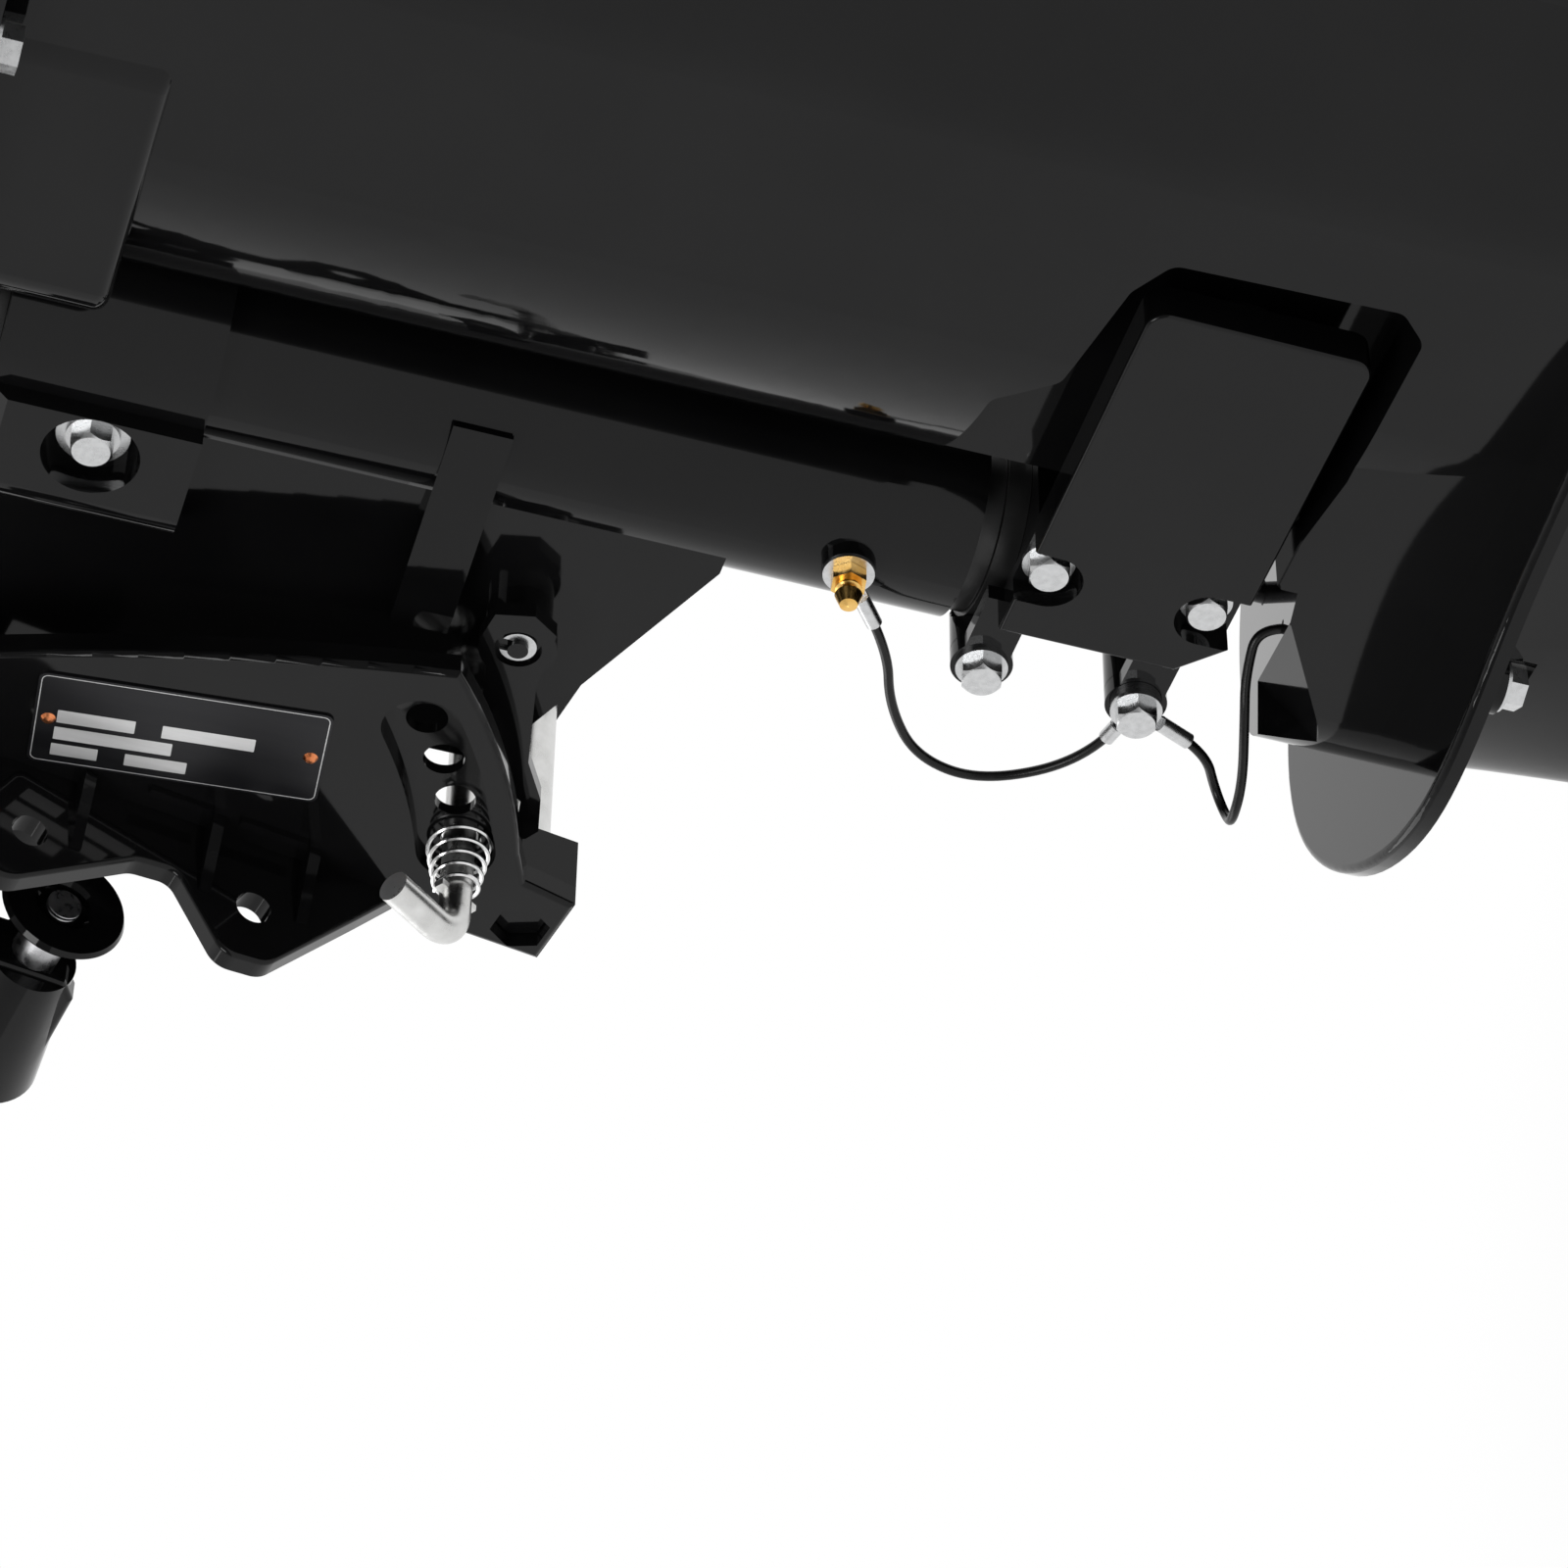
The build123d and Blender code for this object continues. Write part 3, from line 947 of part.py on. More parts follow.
# Gearcase
def gearcase():
    top = foil(STRUT_FRONT - 4, STRUT_BACK, 38, 168, 262, 9, GEARCASE_JOINT)
    neck = foil(STRUT_FRONT, STRUT_BACK - 4, 27, 176, 262, 8, -500)
    root = foil(STRUT_FRONT + 6, STRUT_BACK - 6, 20, 180, 262, 7, PROP_Z)
    case = loft([top, neck, root])
    shoulder = (BULLET_R, BULLET_FRONT + 76)
    nose = Spline((0, BULLET_FRONT), (26, BULLET_FRONT + 24), shoulder, tangents=[(1, 0), (0, 1)])
    shell = Polyline(
        (BULLET_R, BULLET_FRONT + 76), (BULLET_R, BULLET_BACK - 40),
        (BULLET_R - 1.5, BULLET_BACK), (0, BULLET_BACK),
        (0, BULLET_FRONT),
    )
    bullet = revolve(make_face(Curve() + [nose, shell]), Axis.Y, 360)
    case += Pos(0, 0, PROP_Z) * bullet
    # Skeg: thin, swept back, with a rounded tip
    skeg_side = [(128, PROP_Z - 20), (172, -655), (196, -694), (214, SKEG_LOW)]
    skeg_side += [(296, SKEG_LOW + 2), (322, -690), (330, -640), (326, PROP_Z - 20)]
    skeg = side_prism(skeg_side, -5, 5)
    skeg = fillet(skeg.edges().filter_by(Axis.X).group_by(Axis.Z)[0], 6)
    case += skeg
    # Bolt pads beside the neck
    for x, y in GEARCASE_BOLTS:
        case += rod_z(10, BOLT_PAD_Z, GEARCASE_JOINT, x, y)
        case -= rod_z(M8 / 2 + BOLT_GAP, BOLT_PAD_Z - 30, GEARCASE_JOINT + 1, x, y)
        case -= rod_z(M8_FLANGE_R + 1, BOLT_PAD_Z - 12, BOLT_PAD_Z, x, y)
    # Gear chamber, drive shaft bore and shift passage
    bore = [(CHAMBER_FRONT, 0), (CHAMBER_FRONT, CHAMBER_R)]
    bore += [(BULLET_BACK + 1, CHAMBER_R), (BULLET_BACK + 1, 0)]
    case -= turned_y(bore, 0, PROP_Z)
    case -= rod_y(15, 136, CHAMBER_FRONT + 1, 0, PROP_Z)
    case -= rod_z(PINION_R + 1.2, PROP_Z + 10, PROP_Z + 36, 0, DRIVE_Y)
    case -= rod_z(DRIVE_BORE / 2, PROP_Z + 20, GEARCASE_JOINT + 1, 0, DRIVE_Y)
    case -= rod_z(SHIFT_ROD_D / 2 + 0.5, PROP_Z, GEARCASE_JOINT + 1, 0, STEER_Y)
    # Water inlet slots
    for i in range(5):
        y = 232 + i * 9
        slot = span(13, 40, y, y + 4, -534, -510)
        slot = fillet(slot.edges().filter_by(Axis.X), 1.8)
        case -= slot + starboard(slot)
    return case


def gearcase_bolts():
    group = Part()
    for x, y in GEARCASE_BOLTS:
        bolt = hex_z(M8_AF, BOLT_PAD_Z - M8_HEAD, BOLT_PAD_Z, x, y)
        bolt += rod_z(M8_FLANGE_R, BOLT_PAD_Z - M8_FLANGE_T, BOLT_PAD_Z, x, y)
        group += bolt + rod_z(M8 / 2, BOLT_PAD_Z, PLATE_LOW + 16, x, y)
    return group


def trim_tab():
    # Sacrificial anode under the plate, behind the strut
    side = [(411, PLATE_LOW), (439, PLATE_LOW), (445, -482), (430, -486), (419, -468)]
    tab = side_prism(side, -4, 4)
    return tab + rod_z(13, PLATE_LOW - 4, PLATE_LOW, 0, 425)


# Drive train
def bevel(teeth, radius, mate):
    # Pitch cone with its apex at the origin and the axis up, big end at height `mate`
    small = TOOTH_INNER
    points = [(small * mate, 0), (small * mate, small * radius - SLIP), (mate, radius - SLIP)]
    points += [(mate + 4, radius - 4), (mate + 4, 0)]
    gear = turned_z(points, 0, 0)
    depth = 4.4 * radius * 2 / teeth / 5
    groove = Box(2 * radius * math.pi / teeth * 0.42, depth * 2, mate)
    lean = math.degrees(math.atan2(radius, mate))
    for i in range(teeth):
        cut = Pos(0, radius * 0.84, mate * 0.84) * Rot(-lean, 0, 0) * groove
        gear -= Rot(0, 0, 360.0 / teeth * i) * cut
    return gear


def driveline_top():
    # Crankshaft and drive shaft in one line
    return rod_z(DRIVE_D / 2, PROP_Z + PINION_R / GEAR_RATIO - 2, COWL_LOW + 2, 0, DRIVE_Y)


def pinion():
    mate = PINION_R / GEAR_RATIO
    gear = bevel(PINION_TEETH, PINION_R, mate)
    gear -= rod_z(DRIVE_D / 2 + 0.02, mate - 2, mate + 20, 0, 0)
    return Pos(0, DRIVE_Y, PROP_Z) * gear


def driven_gear(direction, phase):
    radius = PINION_R / GEAR_RATIO
    gear = bevel(GEAR_TEETH, radius, PINION_R)
    hub_end = PINION_R + 28
    gear += rod_z(20, PINION_R + 3, hub_end, 0, 0)
    face = PINION_R * TOOTH_INNER
    gear -= rod_z(CLUTCH_R + 1.5, face - 1, DOG_FACE, 0, 0)
    dogs = Part()
    for i in range(DOG_COUNT):
        dogs += Rot(0, 0, phase + 360.0 / DOG_COUNT * i) * dog(DOG_FACE - DOG_RISE + 0.2, DOG_FACE + 1)
    gear += dogs & rod_z(CLUTCH_R, 0, hub_end, 0, 0)
    gear -= rod_z(PROP_SHAFT_D / 2 + SLIP, 0, hub_end + 1, 0, 0)
    turn = Rot(90, 0, 0) if direction < 0 else Rot(-90, 0, 0)
    return Pos(0, DRIVE_Y, PROP_Z) * turn * gear


def dog(z0, z1):
    # One claw of the clutch, a sector between the shaft and the clutch's rim
    a = math.radians(DOG_WIDTH / 2)
    reach = CLUTCH_R + 1
    wide = reach * math.tan(a)
    wedge = Polyline((0, 0), (reach, wide), (reach, -wide), close=True)
    return Pos(0, 0, z0) * extrude(make_face(wedge), amount=z1 - z0)


def dog_clutch():
    body = rod_z(CLUTCH_R + 2, -CLUTCH_HALF, CLUTCH_HALF, 0, 0)
    for i in range(DOG_COUNT):
        turn = Rot(0, 0, 360.0 / DOG_COUNT * i)
        body += turn * dog(CLUTCH_HALF - 0.5, CLUTCH_HALF + DOG_RISE)
        body += turn * dog(-CLUTCH_HALF - DOG_RISE, -CLUTCH_HALF + 0.5)
    body &= rod_z(CLUTCH_R, -20, 20, 0, 0)
    body -= rod_z(PROP_SHAFT_D / 2 + SLIP, -20, 20, 0, 0)
    return Pos(0, DRIVE_Y, PROP_Z) * Rot(90, 0, 0) * body


def prop_shaft():
    end = PROP_SHAFT_BACK
    points = [
        (PROP_SHAFT_FRONT, 0), (PROP_SHAFT_FRONT, PROP_SHAFT_D / 2 - 2),
        (PROP_SHAFT_FRONT + 3, PROP_SHAFT_D / 2),
        (PROP_BACK - 6, PROP_SHAFT_D / 2), (PROP_BACK - 6, 6), (end - 1, 6), (end, 5), (end, 0),
    ]
    return turned_y(points, 0, PROP_Z)


def front_bearing():
    ring = rod_y(CHAMBER_R - 0.05, CHAMBER_FRONT, CHAMBER_FRONT + 10, 0, PROP_Z)
    return ring - rod_y(20 + SLIP, CHAMBER_FRONT - 1, CHAMBER_FRONT + 11, 0, PROP_Z)


def bearing_carrier():
    start = DRIVE_Y + PINION_R + 4
    points = [
        (start + 2, CHAMBER_R - 0.05), (BULLET_BACK, CHAMBER_R - 0.05),
        (BULLET_BACK, PROP_SHAFT_D / 2 + SLIP),
        (start + 26, PROP_SHAFT_D / 2 + SLIP), (start + 26, 20 + SLIP), (start + 2, 20 + SLIP),
    ]
    return turned_y(points, 0, PROP_Z)


def water_impeller():
    z = GEARCASE_JOINT - 24
    hub = rod_z(DRIVE_D / 2 + 1.5, z, z + 12, 0, DRIVE_Y)
    for i in range(6):
        vane = span(DRIVE_D / 2, DRIVE_BORE / 2 - 0.8, -0.8, 0.8, z, z + 12)
        hub += Pos(0, DRIVE_Y, 0) * Rot(0, 0, i * 60) * vane
    return hub - rod_z(DRIVE_D / 2 + 0.02, z - 1, z + 13, 0, DRIVE_Y)


# Propeller
def blade_section(r, chord, thick, rake):
    # Thin lens on the helix at radius r, drawn square to the radius
    pitch = math.degrees(math.atan2(PROP_PITCH, 2 * math.pi * r))
    lens = make_face(
        Curve() + [
            ThreePointArc((-chord / 2, 0), (0, thick), (chord / 2, 0)),
            ThreePointArc((chord / 2, 0), (0, -thick * 0.35), (-chord / 2, 0)),
        ]
    )
    plane = Plane(origin=(0, rake, r), x_dir=(1, 0, 0), z_dir=(0, 0, 1))
    return plane * Rot(0, 0, pitch) * lens


def propeller():
    middle = (PROP_FRONT + PROP_BACK) / 2
    sections = [(29, 78, 5.2, -2), (55, 96, 4.2, 2), (82, 100, 3.0, 7)]
    sections += [(104, 78, 2.0, 11), (PROP_R, 34, 1.3, 14)]
    blade = loft([blade_section(r, c, t, k) for r, c, t, k in sections])
    outside = [(PROP_FRONT, 0), (PROP_FRONT, PROP_HUB_R + 2), (PROP_BACK - 10, PROP_HUB_R)]
    outside += [(PROP_BACK, PROP_HUB_R + 2), (PROP_BACK, 0)]
    hub = turned_y(outside, 0, 0)
    for i in range(BLADE_COUNT):
        hub += Pos(0, middle - 4, 0) * Rot(0, 360.0 / BLADE_COUNT * i, 0) * blade
    inside = [(PROP_FRONT - 1, 0), (PROP_FRONT - 1, PROP_BORE_R + 2), (PROP_BACK + 1, PROP_BORE_R)]
    inside += [(PROP_BACK + 1, 0)]
    bore = turned_y(inside, 0, 0)
    hub -= bore
    # Inner hub on its three spokes
    inner = rod_y(16, PROP_FRONT + 4, PROP_BACK - 6, 0, 0)
    for i in range(3):
        spoke = span(-2.5, 2.5, PROP_FRONT + 8, PROP_BACK - 10, 14, PROP_HUB_R - 2)
        inner += Rot(0, 60 + 120 * i, 0) * spoke
    hub += inner
    hub -= rod_y(PROP_SHAFT_D / 2 + SLIP, PROP_FRONT - 1, PROP_BACK + 1, 0, 0)
    return Pos(0, 0, PROP_Z) * hub


def prop_nut():
    start = PROP_BACK - 6
    washer = [(start, 6.05), (start, 14), (start + 3, 14)]
    nut = [(start + 3, 10.5), (start + 14, 10.5), (start + 14, 6.05)]
    return turned_y(washer + nut, 0, PROP_Z)


def thrust_ring():
    start = BULLET_BACK + 0.2
    end = PROP_FRONT + 3.9
    inner = PROP_SHAFT_D / 2 + SLIP
    return turned_y([(start, inner), (start, 14), (end, 15), (end, inner)], 0, PROP_Z)


# Powerhead
def cowl_plan(inset):
    width = 2 * (COWL_HALF - inset)
    length = COWL_BACK - COWL_FRONT - 2 * inset
    return Pos(0, (COWL_FRONT + COWL_BACK) / 2, 0) * RectangleRounded(width, length, COWL_R - inset)


def bottom_cowl():
    tray = Pos(0, 0, COWL_LOW) * extrude(cowl_plan(0), amount=COWL_SPLIT - COWL_LOW)
    tray = fillet(tray.edges().group_by(Axis.Z)[0], 16)
    inner = Pos(0, 0, COWL_LOW + FLOOR_T) * extrude(cowl_plan(COWL_WALL), amount=100)
    tray -= fillet(inner.edges().group_by(Axis.Z)[0], 12)
    # Collar of the stop switch and lugs of the latch
    tray += rod_y(11, COWL_FRONT - 5, COWL_FRONT + 16, CONTROL_X[1], CONTROL_Z)
    for x in (-22.3, 18.3):
        tray += span(x, x + 4, COWL_BACK - 1, LATCH_Y + 5, LATCH_Z - 6, LATCH_Z + 6)
    tray -= rod_x(LATCH_PIN_R + SLIP, -24, 24, LATCH_Y, LATCH_Z)
    tray -= rod_z(18, COWL_LOW - 1, COWL_LOW + 10, 0, DRIVE_Y)
    for x in CONTROL_X:
        tray -= rod_y(6 + SLIP, COWL_FRONT - 8, COWL_FRONT + 14, x, CONTROL_Z)
    return tray


def top_cowl():
    height = COWL_TOP - COWL_SPLIT - 0.4
    dome = Pos(0, 0, COWL_SPLIT + 0.4) * extrude(cowl_plan(0), amount=height, taper=5)
    dome = fillet(dome.edges().group_by(Axis.Z)[-1], 38)
    inner = Pos(0, 0, COWL_SPLIT - 1) * extrude(cowl_plan(COWL_WALL), amount=height - COWL_WALL, taper=5)
    inner = fillet(inner.edges().group_by(Axis.Z)[-1], 34)
    return dome - inner


def powerhead_block():
    low = COWL_LOW + FLOOR_T
    block = span(-62, 62, 160, 262, low, BLOCK_TOP)
    block = fillet(block.edges().filter_by(Axis.Z), 16)
    block += span(-66, 66, 180, 316, low, low + 12)
    for z in (172, 246):
        block += rod_y(40, 250, 330, 0, z)
        block += span(-46, 46, 320, 330, z - 40, z + 40)
    block -= rod_z(22, 146, 278, 0, DRIVE_Y)
    block -= rod_z(15 + SLIP, low - 1, BLOCK_TOP + 1, 0, DRIVE_Y)
    return block


def cylinder_head():
    head = span(-46, 46, 330.3, 356, 132, 286)
    head = fillet(head.edges().filter_by(Axis.Y), 14)
    for z in (172, 246):
        head -= rod_y(5.1, 340, 360, 0, z)
    return head


def spark_plugs():
    group = Part()
    for z in (172, 246):
        plug = rod_y(5, 340.5, 358, 0, z) + rod_y(10, 356.2, 363, 0, z) + rod_y(5.5, 362, 386, 0, z)
        group += plug + rod_y(8, 380, 404, 0, z)
    return group


def crankshaft():
    low = COWL_LOW + 2.2
    shaft = rod_z(15, low, BLOCK_TOP + 12, 0, DRIVE_Y)
    for z in (172, 246):
        shaft += rod_z(21, z - 16, z - 7, 0, DRIVE_Y) + rod_z(21, z + 7, z + 16, 0, DRIVE_Y)
    return shaft


def flywheel():
    z = BLOCK_TOP + 6
    outside = [(z, 15.1), (z, FLYWHEEL_R - 6), (z + 4, FLYWHEEL_R), (z + 30, FLYWHEEL_R)]
    inside = [(z + 30, FLYWHEEL_R - 8), (z + 12, FLYWHEEL_R - 14), (z + 8, 30), (z + 8, 15.1)]
    rim = turned_z(outside + inside, 0, DRIVE_Y)
    for i in range(12):
        fin = Pos(FLYWHEEL_R - 20, 0, z + 12) * Box(26, 3, 14)
        rim += Pos(0, DRIVE_Y, 0) * Rot(0, 0, i * 30) * fin
    return rim + hex_z(24, z + 2, z + 20, 0, DRIVE_Y)


def starter_motor():
    # Electric starter beside the block, its small pinion under the nose cap
    x, y = 92, 150
    low = COWL_LOW + FLOOR_T + 24
    motor = rod_z(27, low, low + 96, x, y) + rod_z(20, low - 8, low + 110, x, y)
    motor = fillet(motor.edges().group_by(Axis.Z)[-1], 5)
    return motor + span(62.2, 80, 168, 186, low + 20, low + 60)


def carburettor():
    body = rod_y(19, 104, 159.7, 0, 210)
    body += span(-22, 22, 116, 146, 176, 206)
    body = fillet(body.edges().filter_by(Axis.Z), 4)
    body += rod_y(25, 98, 106, 0, 210)
    body -= rod_y(13, 97, 150, 0, 210)
    body -= rod_x(4 + SLIP, 10, 30, 128, 210)
    return body


def choke_knob():
    x = CONTROL_X[0]
    y = COWL_FRONT
    neck = [(y - 0.3, 0), (y - 0.3, 9), (y - 6, 9)]
    head = [(y - 10, 14), (y - 20, 14), (y - 22, 12), (y - 22, 0)]
    knob = turned_y(neck + head, x, CONTROL_Z)
    return knob + rod_y(6, COWL_FRONT - 1, COWL_FRONT + 34, x, CONTROL_Z)


def stop_button():
    x = CONTROL_X[1]
    return rod_y(6, COWL_FRONT - 10, COWL_FRONT + 8, x, CONTROL_Z)


def cowl_latch():
    y = LATCH_Y
    lever = rod_x(6, -18, 18, y, LATCH_Z)
    top = LATCH_Z + 40
    lever += side_prism([(y - 5, LATCH_Z), (y + 6, LATCH_Z), (y + 5, top), (y, top)], -14, 14)
    return lever + rod_x(LATCH_PIN_R, -22, 22, y, LATCH_Z)


# Bonding wires
def crimp(x, y, z, toward, reach):
    # A point on the axis of a terminal's barrel, this far from the centre of its ring
    length = math.hypot(*toward)
    return (x + CRIMP_X, y + reach * toward[0] / length, z + reach * toward[1] / length)


SWIVEL_SPOT = (NIPPLE_BOSS_X, STEER_Y, NIPPLE_Z, SWIVEL_TOWARD)
YOKE_SPOT_1 = (EAR_FACE, *MOUNT_BOLTS[2], YOKE_TOWARD[0])
YOKE_SPOT_2 = (EAR_FACE + TERMINAL_T, *MOUNT_BOLTS[2], YOKE_TOWARD[1])
WIRE_1 = [
    crimp(*SWIVEL_SPOT, 17), crimp(*SWIVEL_SPOT, 37), (40.0, 92.0, -284.0), (41.0, 72.0, -300.0),
    (41.5, 68.0, -325.0), crimp(*YOKE_SPOT_1, 31), crimp(*YOKE_SPOT_1, 12),
]
WIRE_2 = [
    crimp(*YOKE_SPOT_2, 17), crimp(*YOKE_SPOT_2, 32), (47.5, 92.5, -401.5), (58.0, 90.5, -410.5),
    (66.0, 101.0, -412.5), (60.5, 118.0, -402.5), (53.5, 134.0, -393.5), (46.0, 150.0, -387.5),
    (40.0, 168.0, -388.5), (40.0, 168.0, -407.5),
]


def turn_at(a, b, c):
    return math.radians((Vector(*b) - Vector(*a)).get_angle(Vector(*c) - Vector(*b)))


def wire(points, name):
    radii = []
    for a, b, c in zip(points, points[1:], points[2:]):
        run = min((Vector(*b) - Vector(*a)).length, (Vector(*c) - Vector(*b)).length)
        radii.append(0.45 * run / math.tan(turn_at(a, b, c) / 2))
    path = FilletPolyline(*points, radius=radii)
    start = Plane(origin=points[0], z_dir=Vector(*points[1]) - Vector(*points[0]))
    tube = sweep(start * Circle(WIRE_D / 2), path=path)
    ideal = math.pi * (WIRE_D / 2) ** 2 * path.length
    print(name, "length", round(path.length, 1), "volume ratio", round(tube.volume / ideal, 4))
    print("  radii", [round(r, 1) for r in radii])
    return tube


def all_parts():
    port = clamp_bracket()
    pad, screw = clamp_pad(), clamp_screw()
    arm = mount_arm()
    return {
        "clamp_bracket_port": port,
        "clamp_bracket_starboard": starboard(port),
        "name_plate": name_plate(),
        "name_plate_rivets": plate_rivets(),
        "tilt_tube": tilt_tube(),
        "bracket_fasteners": tilt_tube_nuts() + cross_bolt() + cross_nut(),
        "bracket_spacer_tube": spacer_tube(),
        "clamp_pad_port": pad,
        "clamp_pad_starboard": starboard(pad),
        "clamp_screw_port": screw,
        "clamp_screw_starboard": starboard(screw),
        "trim_pin": trim_pin(),
        "trim_pin_spring": pin_spring(),
        "swivel_bracket": swivel_bracket(),
        "swivel_bushes": tilt_bushes() + lower_bush() + upper_bush() + thrust_washer(),
        "grease_nipple": grease_nipple(),
        "swivel_terminal": swivel_terminal(),
        "steering_friction_bolt": friction_bolt() + friction_washer(),
        "reverse_lock_arm": lock_arm(),
        "reverse_lock_clips": lock_clips(),
        "tilt_support_lever": support_lever(),
        "steering_shaft": steering_shaft(),
        "lower_yoke": lower_yoke(),
        "lower_mount_arms": arm + starboard(arm),
        "mount_bolts": mount_bolts() + upper_mount_bolts(),
        "mount_rubbers": lower_rubbers() + upper_rubbers(),
        "upper_yoke": upper_yoke(),
        "yoke_terminals": yoke_terminals(),
        "bonding_wire_swivel": wire(WIRE_1, "bonding_wire_swivel"),
        "bonding_wire_leg": wire(WIRE_2, "bonding_wire_leg"),
        "drive_shaft_housing": drive_housing(),
        "housing_bolts": leg_bolts() + gearcase_bolts(),
        "engine_holder": engine_holder(),
        "gearcase": gearcase(),
        "trim_tab_anode": trim_tab(),
        "drive_shaft_pinion": driveline_top() + pinion(),
        "water_pump_impeller": water_impeller(),
        "forward_gear": driven_gear(-1, FORWARD_PHASE),
        "reverse_gear": driven_gear(1, REVERSE_PHASE),
        "dog_clutch": dog_clutch(),
        "propeller_shaft": prop_shaft(),
        "gearcase_bearings": front_bearing() + bearing_carrier(),
        "propeller": propeller(),
        "propeller_nut": prop_nut() + thrust_ring(),
        "shift_rod": shift_rod(),
        "shift_lever": shift_lever(),
        "tiller_arm": tiller_arm(),
        "twist_grip": twist_grip(),
        "tiller_pivot_bolt": tiller_pivot(),
        "cowl_bottom": bottom_cowl(),
        "cowl_top": top_cowl(),
        "cowl_latch": cowl_latch(),
        "powerhead_block": powerhead_block(),
        "cylinder_head": cylinder_head(),
        "spark_plugs": spark_plugs(),
        "crankshaft_flywheel": crankshaft() + flywheel(),
        "carburettor": carburettor(),
        "starter_motor": starter_motor(),
        "choke_knob": choke_knob(),
        "stop_button": stop_button(),
    }


def swivel_terminal():
    return ring_terminal(*SWIVEL_SPOT, 6.4)


def yoke_terminals():
    return ring_terminal(*YOKE_SPOT_1, M8, 18) + ring_terminal(*YOKE_SPOT_2, M8)


if __name__ == "__main__":
    os.makedirs("parts", exist_ok=True)
    for name, shape in all_parts().items():
        export_step(shape, f"parts/{name}.step")
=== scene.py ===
import math

import bpy
from mathutils import Matrix, Vector


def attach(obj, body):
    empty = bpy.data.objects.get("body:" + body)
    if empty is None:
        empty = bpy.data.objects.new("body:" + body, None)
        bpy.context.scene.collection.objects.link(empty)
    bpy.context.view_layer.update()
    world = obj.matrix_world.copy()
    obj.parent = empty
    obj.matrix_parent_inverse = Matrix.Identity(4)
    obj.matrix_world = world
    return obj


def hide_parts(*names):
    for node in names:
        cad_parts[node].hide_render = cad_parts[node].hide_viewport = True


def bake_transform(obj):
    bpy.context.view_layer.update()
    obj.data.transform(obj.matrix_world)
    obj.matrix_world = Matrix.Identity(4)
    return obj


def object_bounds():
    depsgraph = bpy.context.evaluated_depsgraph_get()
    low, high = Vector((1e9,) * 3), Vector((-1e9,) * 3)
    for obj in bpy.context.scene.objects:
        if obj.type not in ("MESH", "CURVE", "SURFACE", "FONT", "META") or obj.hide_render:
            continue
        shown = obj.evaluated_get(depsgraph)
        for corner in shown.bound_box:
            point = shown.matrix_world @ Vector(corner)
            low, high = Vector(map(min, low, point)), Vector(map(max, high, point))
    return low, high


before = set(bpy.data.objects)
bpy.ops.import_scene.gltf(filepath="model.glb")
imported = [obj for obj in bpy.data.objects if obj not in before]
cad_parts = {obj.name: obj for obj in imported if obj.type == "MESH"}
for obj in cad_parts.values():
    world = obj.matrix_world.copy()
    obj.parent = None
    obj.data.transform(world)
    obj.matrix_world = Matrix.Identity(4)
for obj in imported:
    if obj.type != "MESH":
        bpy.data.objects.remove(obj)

CAD_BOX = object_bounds()

# Camera, in metres and mm of lens: it looks down on the port quarter, turned so that the
# leg runs to the right
CAMERA_PLACE = Vector((1.3288, 1.3379, 0.1292))
CAMERA_RIGHT = Vector((-0.0099, 0.2985, -0.9544))
CAMERA_DOWN = Vector((0.7235, -0.6567, -0.2129))
CAMERA_LENS = 126
CAMERA_CLIP = (0.05, 60)

# Bonding wires: their routes in metres, as in the CAD source
WIRE_DIAMETER = 0.0034
TUBE_SIDES = 14
WIRE_SWIVEL = [
    (0.0379, 0.13069, -0.26358), (0.0379, 0.11504, -0.27602), (0.040, 0.092, -0.284),
    (0.041, 0.072, -0.300), (0.0415, 0.068, -0.325), (0.0429, 0.08991, -0.35415),
    (0.0429, 0.10835, -0.35872),
]
WIRE_LEG = [
    (0.04395, 0.11330, -0.37722), (0.04395, 0.10739, -0.39101), (0.046, 0.093, -0.3998),
    (0.0557, 0.0907, -0.4044), (0.0641, 0.0977, -0.4033), (0.0611, 0.1141, -0.401),
    (0.0551, 0.1363, -0.3935), (0.0475, 0.1485, -0.3895), (0.040, 0.168, -0.3875),
    (0.040, 0.168, -0.4075),
]

# Lean of the clamp brackets and their screws about X, in degrees
RAKE = -10.0

# Name plate on the port bracket, in metres: middle of its face, size and turn about X
PLATE_FACE = (0.0708, 0.0444, -0.0495)
PLATE_WIDTH, PLATE_LENGTH = 0.042, 0.097
PLATE_TURN = 15.4
# Its print and the painted highlight line along its edge: how far they stand proud, the
# fields' corners, and the highlight line's inset, width and corners on its outer and inner
# side
PRINT_AND_HIGHLIGHT_LIFT = 0.00006
FIELD_CORNER = 0.0003
EDGE_HIGHLIGHT_INSET, EDGE_HIGHLIGHT_WIDTH = 0.0009, 0.0003
EDGE_HIGHLIGHT_CORNERS = (0.0024, 0.0021)
CORNER_STEPS = 4
# Blank fields as shares of the plate: from, to along it, from, to across it
PLATE_FIELDS = [
    (0.08, 0.345, 0.39, 0.53), (0.437, 0.755, 0.39, 0.53), (0.077, 0.48, 0.58, 0.72),
    (0.075, 0.235, 0.77, 0.90), (0.328, 0.54, 0.77, 0.90),
]

# Span of the noise between which roughness and colour change
ROUGH_SPAN = (0.3, 0.7)
TONE_SPAN = (0.35, 0.65)

# Thread of the clamp screws: wave scale of its 2 mm pitch, the shanks' axis at x, z once
# they are turned upright, the radius inside which it is cut, and its depth, in metres
THREAD_SCALE = 157
THREAD_AXIS = (0.060, 0, 0.050)
THREAD_RADIUS = 0.0082
THREAD_DEPTH = 0.0009

# Floor: its gap under the object, half its side, and where its shade fades into white
FLOOR_GAP, FLOOR_HALF = 0.003, 40
FLOOR_FADE = (0.35, 0.85)

